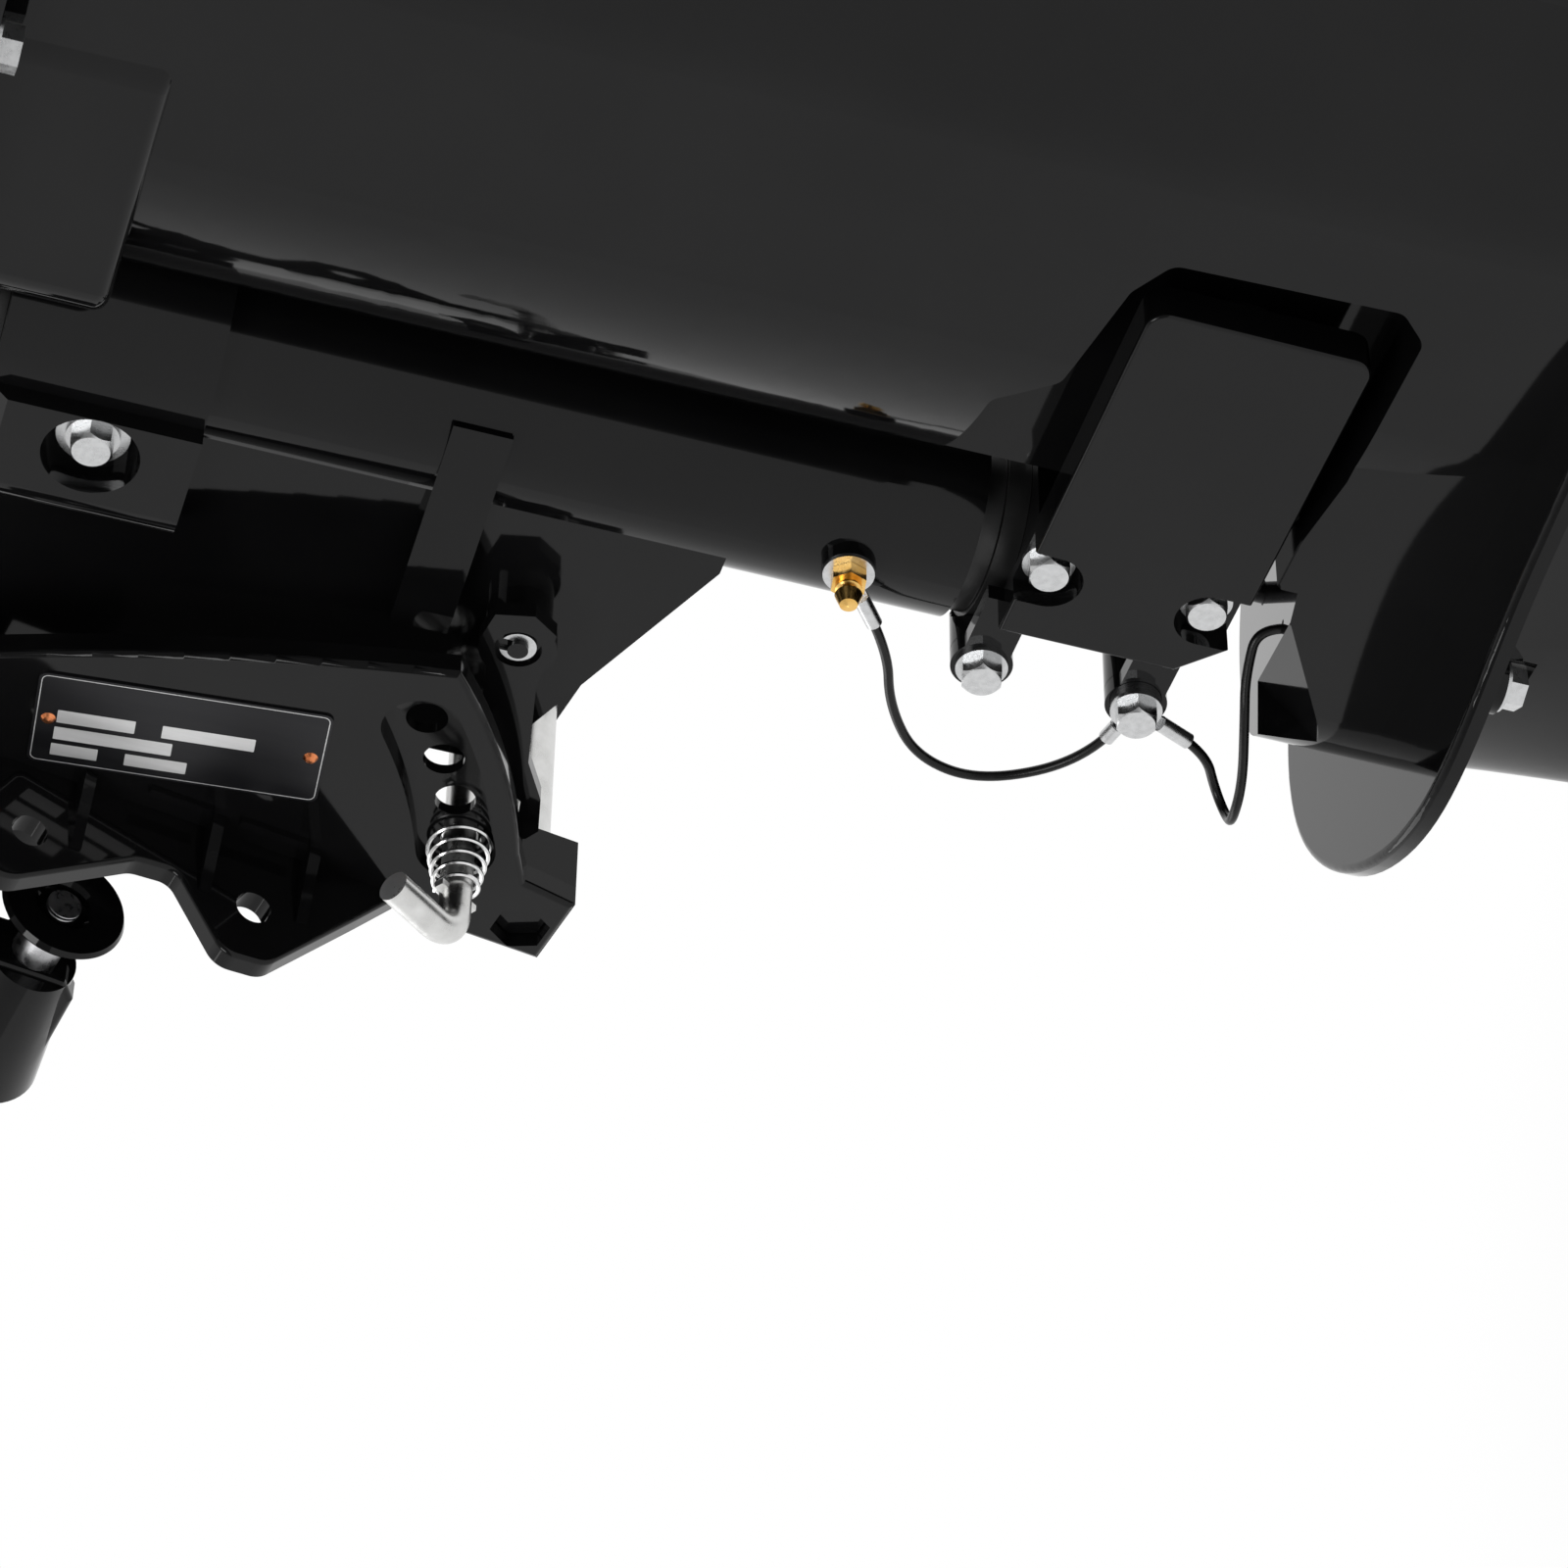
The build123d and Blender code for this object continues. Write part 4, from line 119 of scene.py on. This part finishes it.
# World: its strength on the object, and the side towards which its reflections darken,
# between two cosines, from full strength to the share at the end
WORLD_STRENGTH = 0.5
DARK_SIDE = (0.71, 0.69, 0.14)
DARK_FROM, DARK_TO, DARK_SHARE = -0.25, 0.85, 0.26

# Lamps: place, target, size in metres, and watts
LAMPS = {
    "KeyPort": ((2.4, 0.4, 1.5), (0, 0.1, -0.2), (1.2, 1.2), 28),
    "FillFore": ((0.9, -2.2, 0.9), (0, 0.1, -0.2), (1.6, 1.6), 18),
    "BackStarboard": ((-1.8, 1.8, 1.4), (0, 0.2, -0.2), (0.5, 2.0), 26),
}

# Nodes whose own finish differs from their slot's, and the fasteners, black as painted shade
NODE_FINISH_AND_SHADE = {
    "swivel_bushes": "black_plastic",
    # Black paint here is painted shade: it darkens the cross bolt in its hex pocket
    "bracket_fasteners": "gloss_black_paint",
    "shift_rod": "dark_steel",
    "clamp_screw_port": "threaded_steel",
    "clamp_screw_starboard": "threaded_steel",
}


def placed(name, data):
    obj = bpy.data.objects.new(name, data)
    bpy.context.scene.collection.objects.link(obj)
    return obj


def camera():
    right, down = CAMERA_RIGHT.normalized(), CAMERA_DOWN.normalized()
    up = -down
    back = right.cross(up).normalized()
    up = back.cross(right)
    data = bpy.data.cameras.new("Camera")
    data.lens = CAMERA_LENS
    data.clip_start, data.clip_end = CAMERA_CLIP
    obj = placed("Camera", data)
    turn = Matrix((right, up, back)).transposed().to_4x4()
    obj.matrix_world = Matrix.Translation(CAMERA_PLACE) @ turn
    bpy.context.scene.camera = obj
    bpy.context.scene.view_settings.view_transform = "Standard"


def tree(name):
    material = bpy.data.materials.new(name)
    material.use_nodes = True
    nodes, links = material.node_tree.nodes, material.node_tree.links
    return material, nodes, links, nodes["Principled BSDF"]


def maths(nodes, operation, kind="ShaderNodeMath"):
    node = nodes.new(kind)
    node.operation = operation
    return node


def vector_maths(nodes, operation):
    return maths(nodes, operation, "ShaderNodeVectorMath")


def smooth_range(nodes, span):
    node = nodes.new("ShaderNodeMapRange")
    node.interpolation_type = "SMOOTHSTEP"
    node.inputs["From Min"].default_value, node.inputs["From Max"].default_value = span
    return node


def noise(nodes, links, scale, detail, stretch):
    place = nodes.new("ShaderNodeTexCoord")
    mapping = nodes.new("ShaderNodeMapping")
    mapping.inputs["Scale"].default_value = stretch
    pattern = nodes.new("ShaderNodeTexNoise")
    pattern.inputs["Scale"].default_value = scale
    pattern.inputs["Detail"].default_value = detail
    links.new(place.outputs["Object"], mapping.inputs["Vector"])
    links.new(mapping.outputs["Vector"], pattern.inputs["Vector"])
    return pattern.outputs["Fac"]


def spread(nodes, links, source, low, high):
    turn = nodes.new("ShaderNodeMapRange")
    turn.inputs["From Min"].default_value, turn.inputs["From Max"].default_value = ROUGH_SPAN
    turn.inputs["To Min"].default_value = low
    turn.inputs["To Max"].default_value = high
    links.new(source, turn.inputs["Value"])
    return turn.outputs["Result"]


def two_tone(nodes, links, source, dark, light):
    ramp = nodes.new("ShaderNodeValToRGB")
    for stop, at, colour in zip(ramp.color_ramp.elements, TONE_SPAN, (dark, light)):
        stop.position, stop.color = at, (*colour, 1)
    links.new(source, ramp.inputs["Fac"])
    return ramp.outputs["Color"]


def bumped(nodes, links, shader, source, strength, distance):
    bump = nodes.new("ShaderNodeBump")
    bump.inputs["Strength"].default_value = strength
    bump.inputs["Distance"].default_value = distance
    links.new(source, bump.inputs["Height"])
    links.new(bump.outputs["Normal"], shader.inputs["Normal"])


def finish_of(name, dark, light, rough, metal=0.0, grain=60, fine=900, bump=0.1, depth=0.0002,
              stretch=(1, 1, 1), specular=0.5):
    material, nodes, links, shader = tree(name)
    shader.inputs["Metallic"].default_value = metal
    shader.inputs["Specular IOR Level"].default_value = specular
    broad = noise(nodes, links, grain, 5, stretch)
    links.new(two_tone(nodes, links, broad, dark, light), shader.inputs["Base Color"])
    links.new(spread(nodes, links, broad, *rough), shader.inputs["Roughness"])
    bumped(nodes, links, shader, noise(nodes, links, fine, 3, stretch), bump, depth)
    return material


def materials():
    made = {}
    made["gloss_black_paint"] = finish_of(
        "PaintGlossBlack", (0.003, 0.003, 0.0032), (0.0048, 0.0048, 0.005), (0.05, 0.08),
        grain=14, fine=260, bump=0.04, depth=0.0001, specular=0.22)
    made["dark_plate"] = finish_of(
        "PlateAnodisedDark", (0.012, 0.012, 0.014), (0.02, 0.02, 0.022), (0.28, 0.36),
        grain=90, fine=2400, bump=0.08, depth=0.00005, metal=0.6, stretch=(1, 1, 0.1))
    made["copper"] = finish_of(
        "CopperRivet", (0.62, 0.19, 0.07), (0.82, 0.30, 0.13), (0.22, 0.34),
        grain=350, fine=1800, metal=1.0)
    made["bare_light_steel"] = finish_of(
        "SteelLightPlated", (0.60, 0.60, 0.59), (0.74, 0.74, 0.73), (0.24, 0.36),
        grain=120, fine=1500, metal=1.0, bump=0.08)
    made["zinc_plated_steel"] = finish_of(
        "SteelZincPlated", (0.54, 0.545, 0.55), (0.64, 0.645, 0.65), (0.24, 0.34),
        grain=420, fine=1600, metal=1.0, bump=0.12)
    made["spring_steel"] = finish_of(
        "SteelSpring", (0.62, 0.62, 0.62), (0.78, 0.78, 0.78), (0.14, 0.24),
        grain=300, fine=1600, metal=1.0)
    made["machined_steel"] = finish_of(
        "SteelMachined", (0.45, 0.45, 0.46), (0.62, 0.62, 0.63), (0.22, 0.36),
        grain=80, fine=700, metal=1.0, stretch=(1, 1, 12))
    made["brass"] = finish_of(
        "BrassNipple", (0.70, 0.40, 0.10), (0.86, 0.55, 0.18), (0.16, 0.28),
        grain=260, fine=1500, metal=1.0)
    made["white_bush"] = finish_of(
        "BushWhite", (0.66, 0.65, 0.62), (0.74, 0.73, 0.70), (0.34, 0.48), grain=90, fine=700)
    made["black_rubber"] = finish_of(
        "RubberBlack", (0.010, 0.010, 0.010), (0.018, 0.018, 0.018), (0.55, 0.72),
        grain=70, fine=900, bump=0.25, specular=0.35)
    made["black_cable"] = finish_of(
        "CableBlack", (0.004, 0.004, 0.004), (0.007, 0.007, 0.007), (0.22, 0.32),
        grain=200, fine=1400, bump=0.12, specular=0.25)
    made["zinc_anode"] = finish_of(
        "ZincAnode", (0.40, 0.41, 0.42), (0.55, 0.56, 0.57), (0.48, 0.66),
        grain=110, fine=600, metal=0.85, bump=0.35)
    made["cast_aluminium"] = finish_of(
        "AluminiumCast", (0.42, 0.42, 0.42), (0.56, 0.56, 0.56), (0.42, 0.56),
        grain=120, fine=800, metal=0.9, bump=0.3)
    made["black_plastic"] = finish_of(
        "PlasticBlack", (0.010, 0.010, 0.010), (0.016, 0.016, 0.016), (0.32, 0.44),
        grain=60, fine=1800, bump=0.2)
    made["red_plastic"] = finish_of(
        "PlasticRed", (0.42, 0.012, 0.008), (0.52, 0.02, 0.012), (0.24, 0.34),
        grain=60, fine=1500, bump=0.12)
    made["plate_silver"] = finish_of(
        "PlateSilver", (0.66, 0.66, 0.66), (0.80, 0.80, 0.80), (0.32, 0.46),
        grain=160, fine=2600, metal=0.55, bump=0.08, depth=0.00003, stretch=(1, 1, 0.1))
    made["dark_steel"] = finish_of(
        "SteelBlackened", (0.045, 0.045, 0.047), (0.075, 0.075, 0.078), (0.26, 0.38),
        grain=120, fine=1200, metal=0.8)
    made["threaded_steel"] = threads(finish_of(
        "SteelThreaded", (0.40, 0.40, 0.41), (0.52, 0.52, 0.53), (0.24, 0.34),
        grain=300, fine=1500, metal=1.0))
    return made


def threads(material):
    # On the shanks alone, as bump, in a frame turned back by the brackets' lean
    nodes, links = material.node_tree.nodes, material.node_tree.links
    place = nodes.new("ShaderNodeTexCoord")
    upright = nodes.new("ShaderNodeMapping")
    upright.inputs["Rotation"].default_value = (math.radians(-RAKE), 0, 0)
    links.new(place.outputs["Object"], upright.inputs["Vector"])
    wave = nodes.new("ShaderNodeTexWave")
    wave.bands_direction = "Y"
    wave.wave_profile = "TRI"
    wave.inputs["Scale"].default_value = THREAD_SCALE
    links.new(upright.outputs["Vector"], wave.inputs["Vector"])
    away = vector_maths(nodes, "ABSOLUTE")
    links.new(upright.outputs["Vector"], away.inputs[0])
    flat = vector_maths(nodes, "MULTIPLY")
    flat.inputs[1].default_value = (1, 0, 1)
    links.new(away.outputs["Vector"], flat.inputs[0])
    reach = vector_maths(nodes, "DISTANCE")
    reach.inputs[1].default_value = THREAD_AXIS
    links.new(flat.outputs["Vector"], reach.inputs[0])
    near = maths(nodes, "LESS_THAN")
    near.inputs[1].default_value = THREAD_RADIUS
    links.new(reach.outputs["Value"], near.inputs[0])
    height = maths(nodes, "MULTIPLY")
    links.new(near.outputs["Value"], height.inputs[0])
    links.new(wave.outputs["Fac"], height.inputs[1])
    bumped(nodes, links, nodes["Principled BSDF"], height.outputs["Value"], 1.0, THREAD_DEPTH)
    return material


def dress(made):
    for node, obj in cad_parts.items():
        for place in obj.material_slots:
            name = place.material.name.split(".")[0] if place.material else ""
            name = NODE_FINISH_AND_SHADE.get(node, name)
            if name in made:
                place.material = made[name]


def nurbs(name, points, depth=0.0):
    curve = bpy.data.curves.new(name, "CURVE")
    curve.dimensions = "3D"
    curve.resolution_u = 16
    curve.bevel_depth = depth
    curve.bevel_resolution = 5
    curve.use_fill_caps = True
    line = curve.splines.new("NURBS")
    line.points.add(len(points) - 1)
    for point, place in zip(line.points, points):
        point.co = (*place, 1)
    line.order_u = 3
    line.use_endpoint_u = True
    return placed(name, curve)


def points_of(route):
    guide = nurbs("Guide", route)
    bpy.context.view_layer.update()
    mesh = bpy.data.meshes.new_from_object(guide)
    points = [v.co.copy() for v in mesh.vertices]
    bpy.data.objects.remove(guide)
    bpy.data.meshes.remove(mesh)
    return points


def tube(name, points, radius):
    sides = TUBE_SIDES
    normal = (points[1] - points[0]).orthogonal().normalized()
    verts, faces = [], []
    for i, place in enumerate(points):
        ahead = (points[min(i + 1, len(points) - 1)] - points[max(i - 1, 0)]).normalized()
        normal = (normal - ahead * normal.dot(ahead)).normalized()
        side = ahead.cross(normal)
        for k in range(sides):
            a = 2 * math.pi * k / sides
            verts.append(place + (normal * math.cos(a) + side * math.sin(a)) * radius)
    for i in range(len(points) - 1):
        for k in range(sides):
            n = (k + 1) % sides
            a, b = i * sides, (i + 1) * sides
            faces.append((a + k, a + n, b + n, b + k))
    faces.append(tuple(reversed(range(sides))))
    faces.append(tuple(range(len(verts) - sides, len(verts))))
    mesh = bpy.data.meshes.new(name)
    mesh.from_pydata(verts, [], faces)
    for face in mesh.polygons:
        face.use_smooth = len(face.vertices) == 4
    return placed(name, mesh)


def wires(made):
    points = points_of(WIRE_SWIVEL)
    near = tube("BondingWireSwivel", points, WIRE_DIAMETER / 2)
    near.data.materials.append(made["black_cable"])
    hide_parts("bonding_wire_swivel")
    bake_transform(near)
    far = nurbs("BondingWireLeg", WIRE_LEG, WIRE_DIAMETER / 2)
    far.data.materials.append(made["black_cable"])
    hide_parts("bonding_wire_leg")
    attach(far, "leg")


def seen_rays(nodes, links):
    # 1 for camera, glossy and transmission rays, else 0
    rays = nodes.new("ShaderNodeLightPath")
    found = rays.outputs["Is Camera Ray"]
    for name in ("Is Glossy Ray", "Is Transmission Ray"):
        either = maths(nodes, "MAXIMUM")
        links.new(found, either.inputs[0])
        links.new(rays.outputs[name], either.inputs[1])
        found = either.outputs["Value"]
    return found


def raised(corners):
    # An outline in the plate's own frame, as points on its face and on the raised print and
    # highlight
    place = Matrix.Rotation(math.radians(RAKE), 4, "X") @ Matrix.Translation(PLATE_FACE)
    place = place @ Matrix.Rotation(math.radians(PLATE_TURN), 4, "X")
    return [place @ Vector((lift, y, z)) for lift in (0, PRINT_AND_HIGHLIGHT_LIFT) for y, z in corners]


def rounded(along, across, radius):
    # Corners of a rounded rectangle of the plate's face, both spans in metres
    (z0, z1), (y0, y1) = along, across
    corners = []
    for cy, cz, start in ((y1, z1, 0), (y0, z1, 90), (y0, z0, 180), (y1, z0, 270)):
        iy = cy - radius if cy == y1 else cy + radius
        iz = cz - radius if cz == z1 else cz + radius
        for k in range(CORNER_STEPS + 1):
            a = math.radians(start + 90 * k / CORNER_STEPS)
            corners.append((iy + radius * math.cos(a), iz + radius * math.sin(a)))
    return corners


# Outline of the thin line that paints the highlight on the plate's edge
def edge_highlight_outline(inset, corner):
    along, across = PLATE_LENGTH / 2 - inset, PLATE_WIDTH / 2 - inset
    return rounded((-along, along), (-across, across), corner)


def plate_marks(made):
    # Blank silver fields, and a thin silver line round the plate as its painted edge
    # highlight
    verts, faces = [], []

    def add(outline):
        first, n = len(verts), len(outline)
        verts.extend(raised(outline))
        faces.append(tuple(range(first + n, first + 2 * n)))
        for k in range(n):
            m = (k + 1) % n
            faces.append((first + k, first + m, first + n + m, first + n + k))

    def along(share):
        return PLATE_LENGTH * (0.5 - share)

    def across(share):
        return PLATE_WIDTH * (0.5 - share)

    for a0, a1, b0, b1 in PLATE_FIELDS:
        add(rounded((along(a1), along(a0)), (across(b1), across(b0)), FIELD_CORNER))
    # The painted edge highlight, as a ring of narrow quads
    outer = edge_highlight_outline(EDGE_HIGHLIGHT_INSET, EDGE_HIGHLIGHT_CORNERS[0])
    inner = edge_highlight_outline(EDGE_HIGHLIGHT_INSET + EDGE_HIGHLIGHT_WIDTH, EDGE_HIGHLIGHT_CORNERS[1])
    for k in range(len(outer)):
        m = (k + 1) % len(outer)
        add([outer[k], outer[m], inner[m], inner[k]])
    mesh = bpy.data.meshes.new("NamePlateFieldsAndHighlight")
    mesh.from_pydata(verts, [], faces)
    mesh.validate()
    obj = placed("NamePlateFieldsAndHighlight", mesh)
    mesh.materials.append(made["plate_silver"])
    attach(obj, "clamp")


def floor():
    low, half = CAD_BOX[0].z - FLOOR_GAP, FLOOR_HALF
    mesh = bpy.data.meshes.new("Floor")
    corners = [(-half, -half, low), (half, -half, low), (half, half, low), (-half, half, low)]
    mesh.from_pydata(corners, [], [(0, 1, 2, 3)])
    obj = placed("Floor", mesh)
    # Pale and shaded near the object, white further off and in reflections
    material, nodes, links, shader = tree("FloorPale")
    shader.inputs["Base Color"].default_value = (0.86, 0.86, 0.86, 1)
    shader.inputs["Roughness"].default_value = 0.9
    glow = nodes.new("ShaderNodeEmission")
    glow.inputs["Color"].default_value = (1, 1, 1, 1)
    glow.inputs["Strength"].default_value = 1.0
    mix = nodes.new("ShaderNodeMixShader")
    place = nodes.new("ShaderNodeTexCoord")
    away = vector_maths(nodes, "LENGTH")
    far = smooth_range(nodes, FLOOR_FADE)
    both = maths(nodes, "MULTIPLY")
    links.new(place.outputs["Object"], away.inputs[0])
    links.new(away.outputs["Value"], far.inputs["Value"])
    links.new(far.outputs["Result"], both.inputs[0])
    links.new(seen_rays(nodes, links), both.inputs[1])
    links.new(both.outputs["Value"], mix.inputs["Fac"])
    links.new(shader.outputs["BSDF"], mix.inputs[1])
    links.new(glow.outputs["Emission"], mix.inputs[2])
    links.new(mix.outputs["Shader"], nodes["Material Output"].inputs["Surface"])
    mesh.materials.append(material)


def area(name, place, target, size, power):
    data = bpy.data.lights.new(name, "AREA")
    data.shape = "RECTANGLE"
    data.size, data.size_y = size
    data.energy = power
    obj = placed(name, data)
    obj.location = place
    obj.rotation_mode = "QUATERNION"
    obj.rotation_quaternion = (Vector(target) - Vector(place)).to_track_quat("-Z", "Y")


def light():
    world = bpy.data.worlds.new("Studio")
    bpy.context.scene.world = world
    world.use_nodes = True
    nodes, links = world.node_tree.nodes, world.node_tree.links
    nodes.clear()
    out = nodes.new("ShaderNodeOutputWorld")
    # White to the camera, weaker as light on the object, and fading in its reflections
    # towards the dark side of the studio
    sky = nodes.new("ShaderNodeBackground")
    sky.inputs["Color"].default_value = (1, 1, 1, 1)
    place = nodes.new("ShaderNodeTexCoord")
    side = vector_maths(nodes, "DOT_PRODUCT")
    side.inputs[1].default_value = DARK_SIDE
    fall = smooth_range(nodes, (DARK_FROM, DARK_TO))
    fall.inputs["To Min"].default_value = 1.0
    fall.inputs["To Max"].default_value = DARK_SHARE
    links.new(place.outputs["Generated"], side.inputs[0])
    links.new(side.outputs["Value"], fall.inputs["Value"])
    rays = nodes.new("ShaderNodeLightPath")
    shown = nodes.new("ShaderNodeMix")
    shown.inputs["A"].default_value = WORLD_STRENGTH
    links.new(seen_rays(nodes, links), shown.inputs["Factor"])
    links.new(fall.outputs["Result"], shown.inputs["B"])
    direct = nodes.new("ShaderNodeMix")
    direct.inputs["B"].default_value = 1.0
    links.new(rays.outputs["Is Camera Ray"], direct.inputs["Factor"])
    links.new(shown.outputs["Result"], direct.inputs["A"])
    links.new(direct.outputs["Result"], sky.inputs["Strength"])
    links.new(sky.outputs["Background"], out.inputs["Surface"])
    for name, settings in LAMPS.items():
        area(name, *settings)


camera()
MADE = materials()
dress(MADE)
wires(MADE)
plate_marks(MADE)
floor()
light()
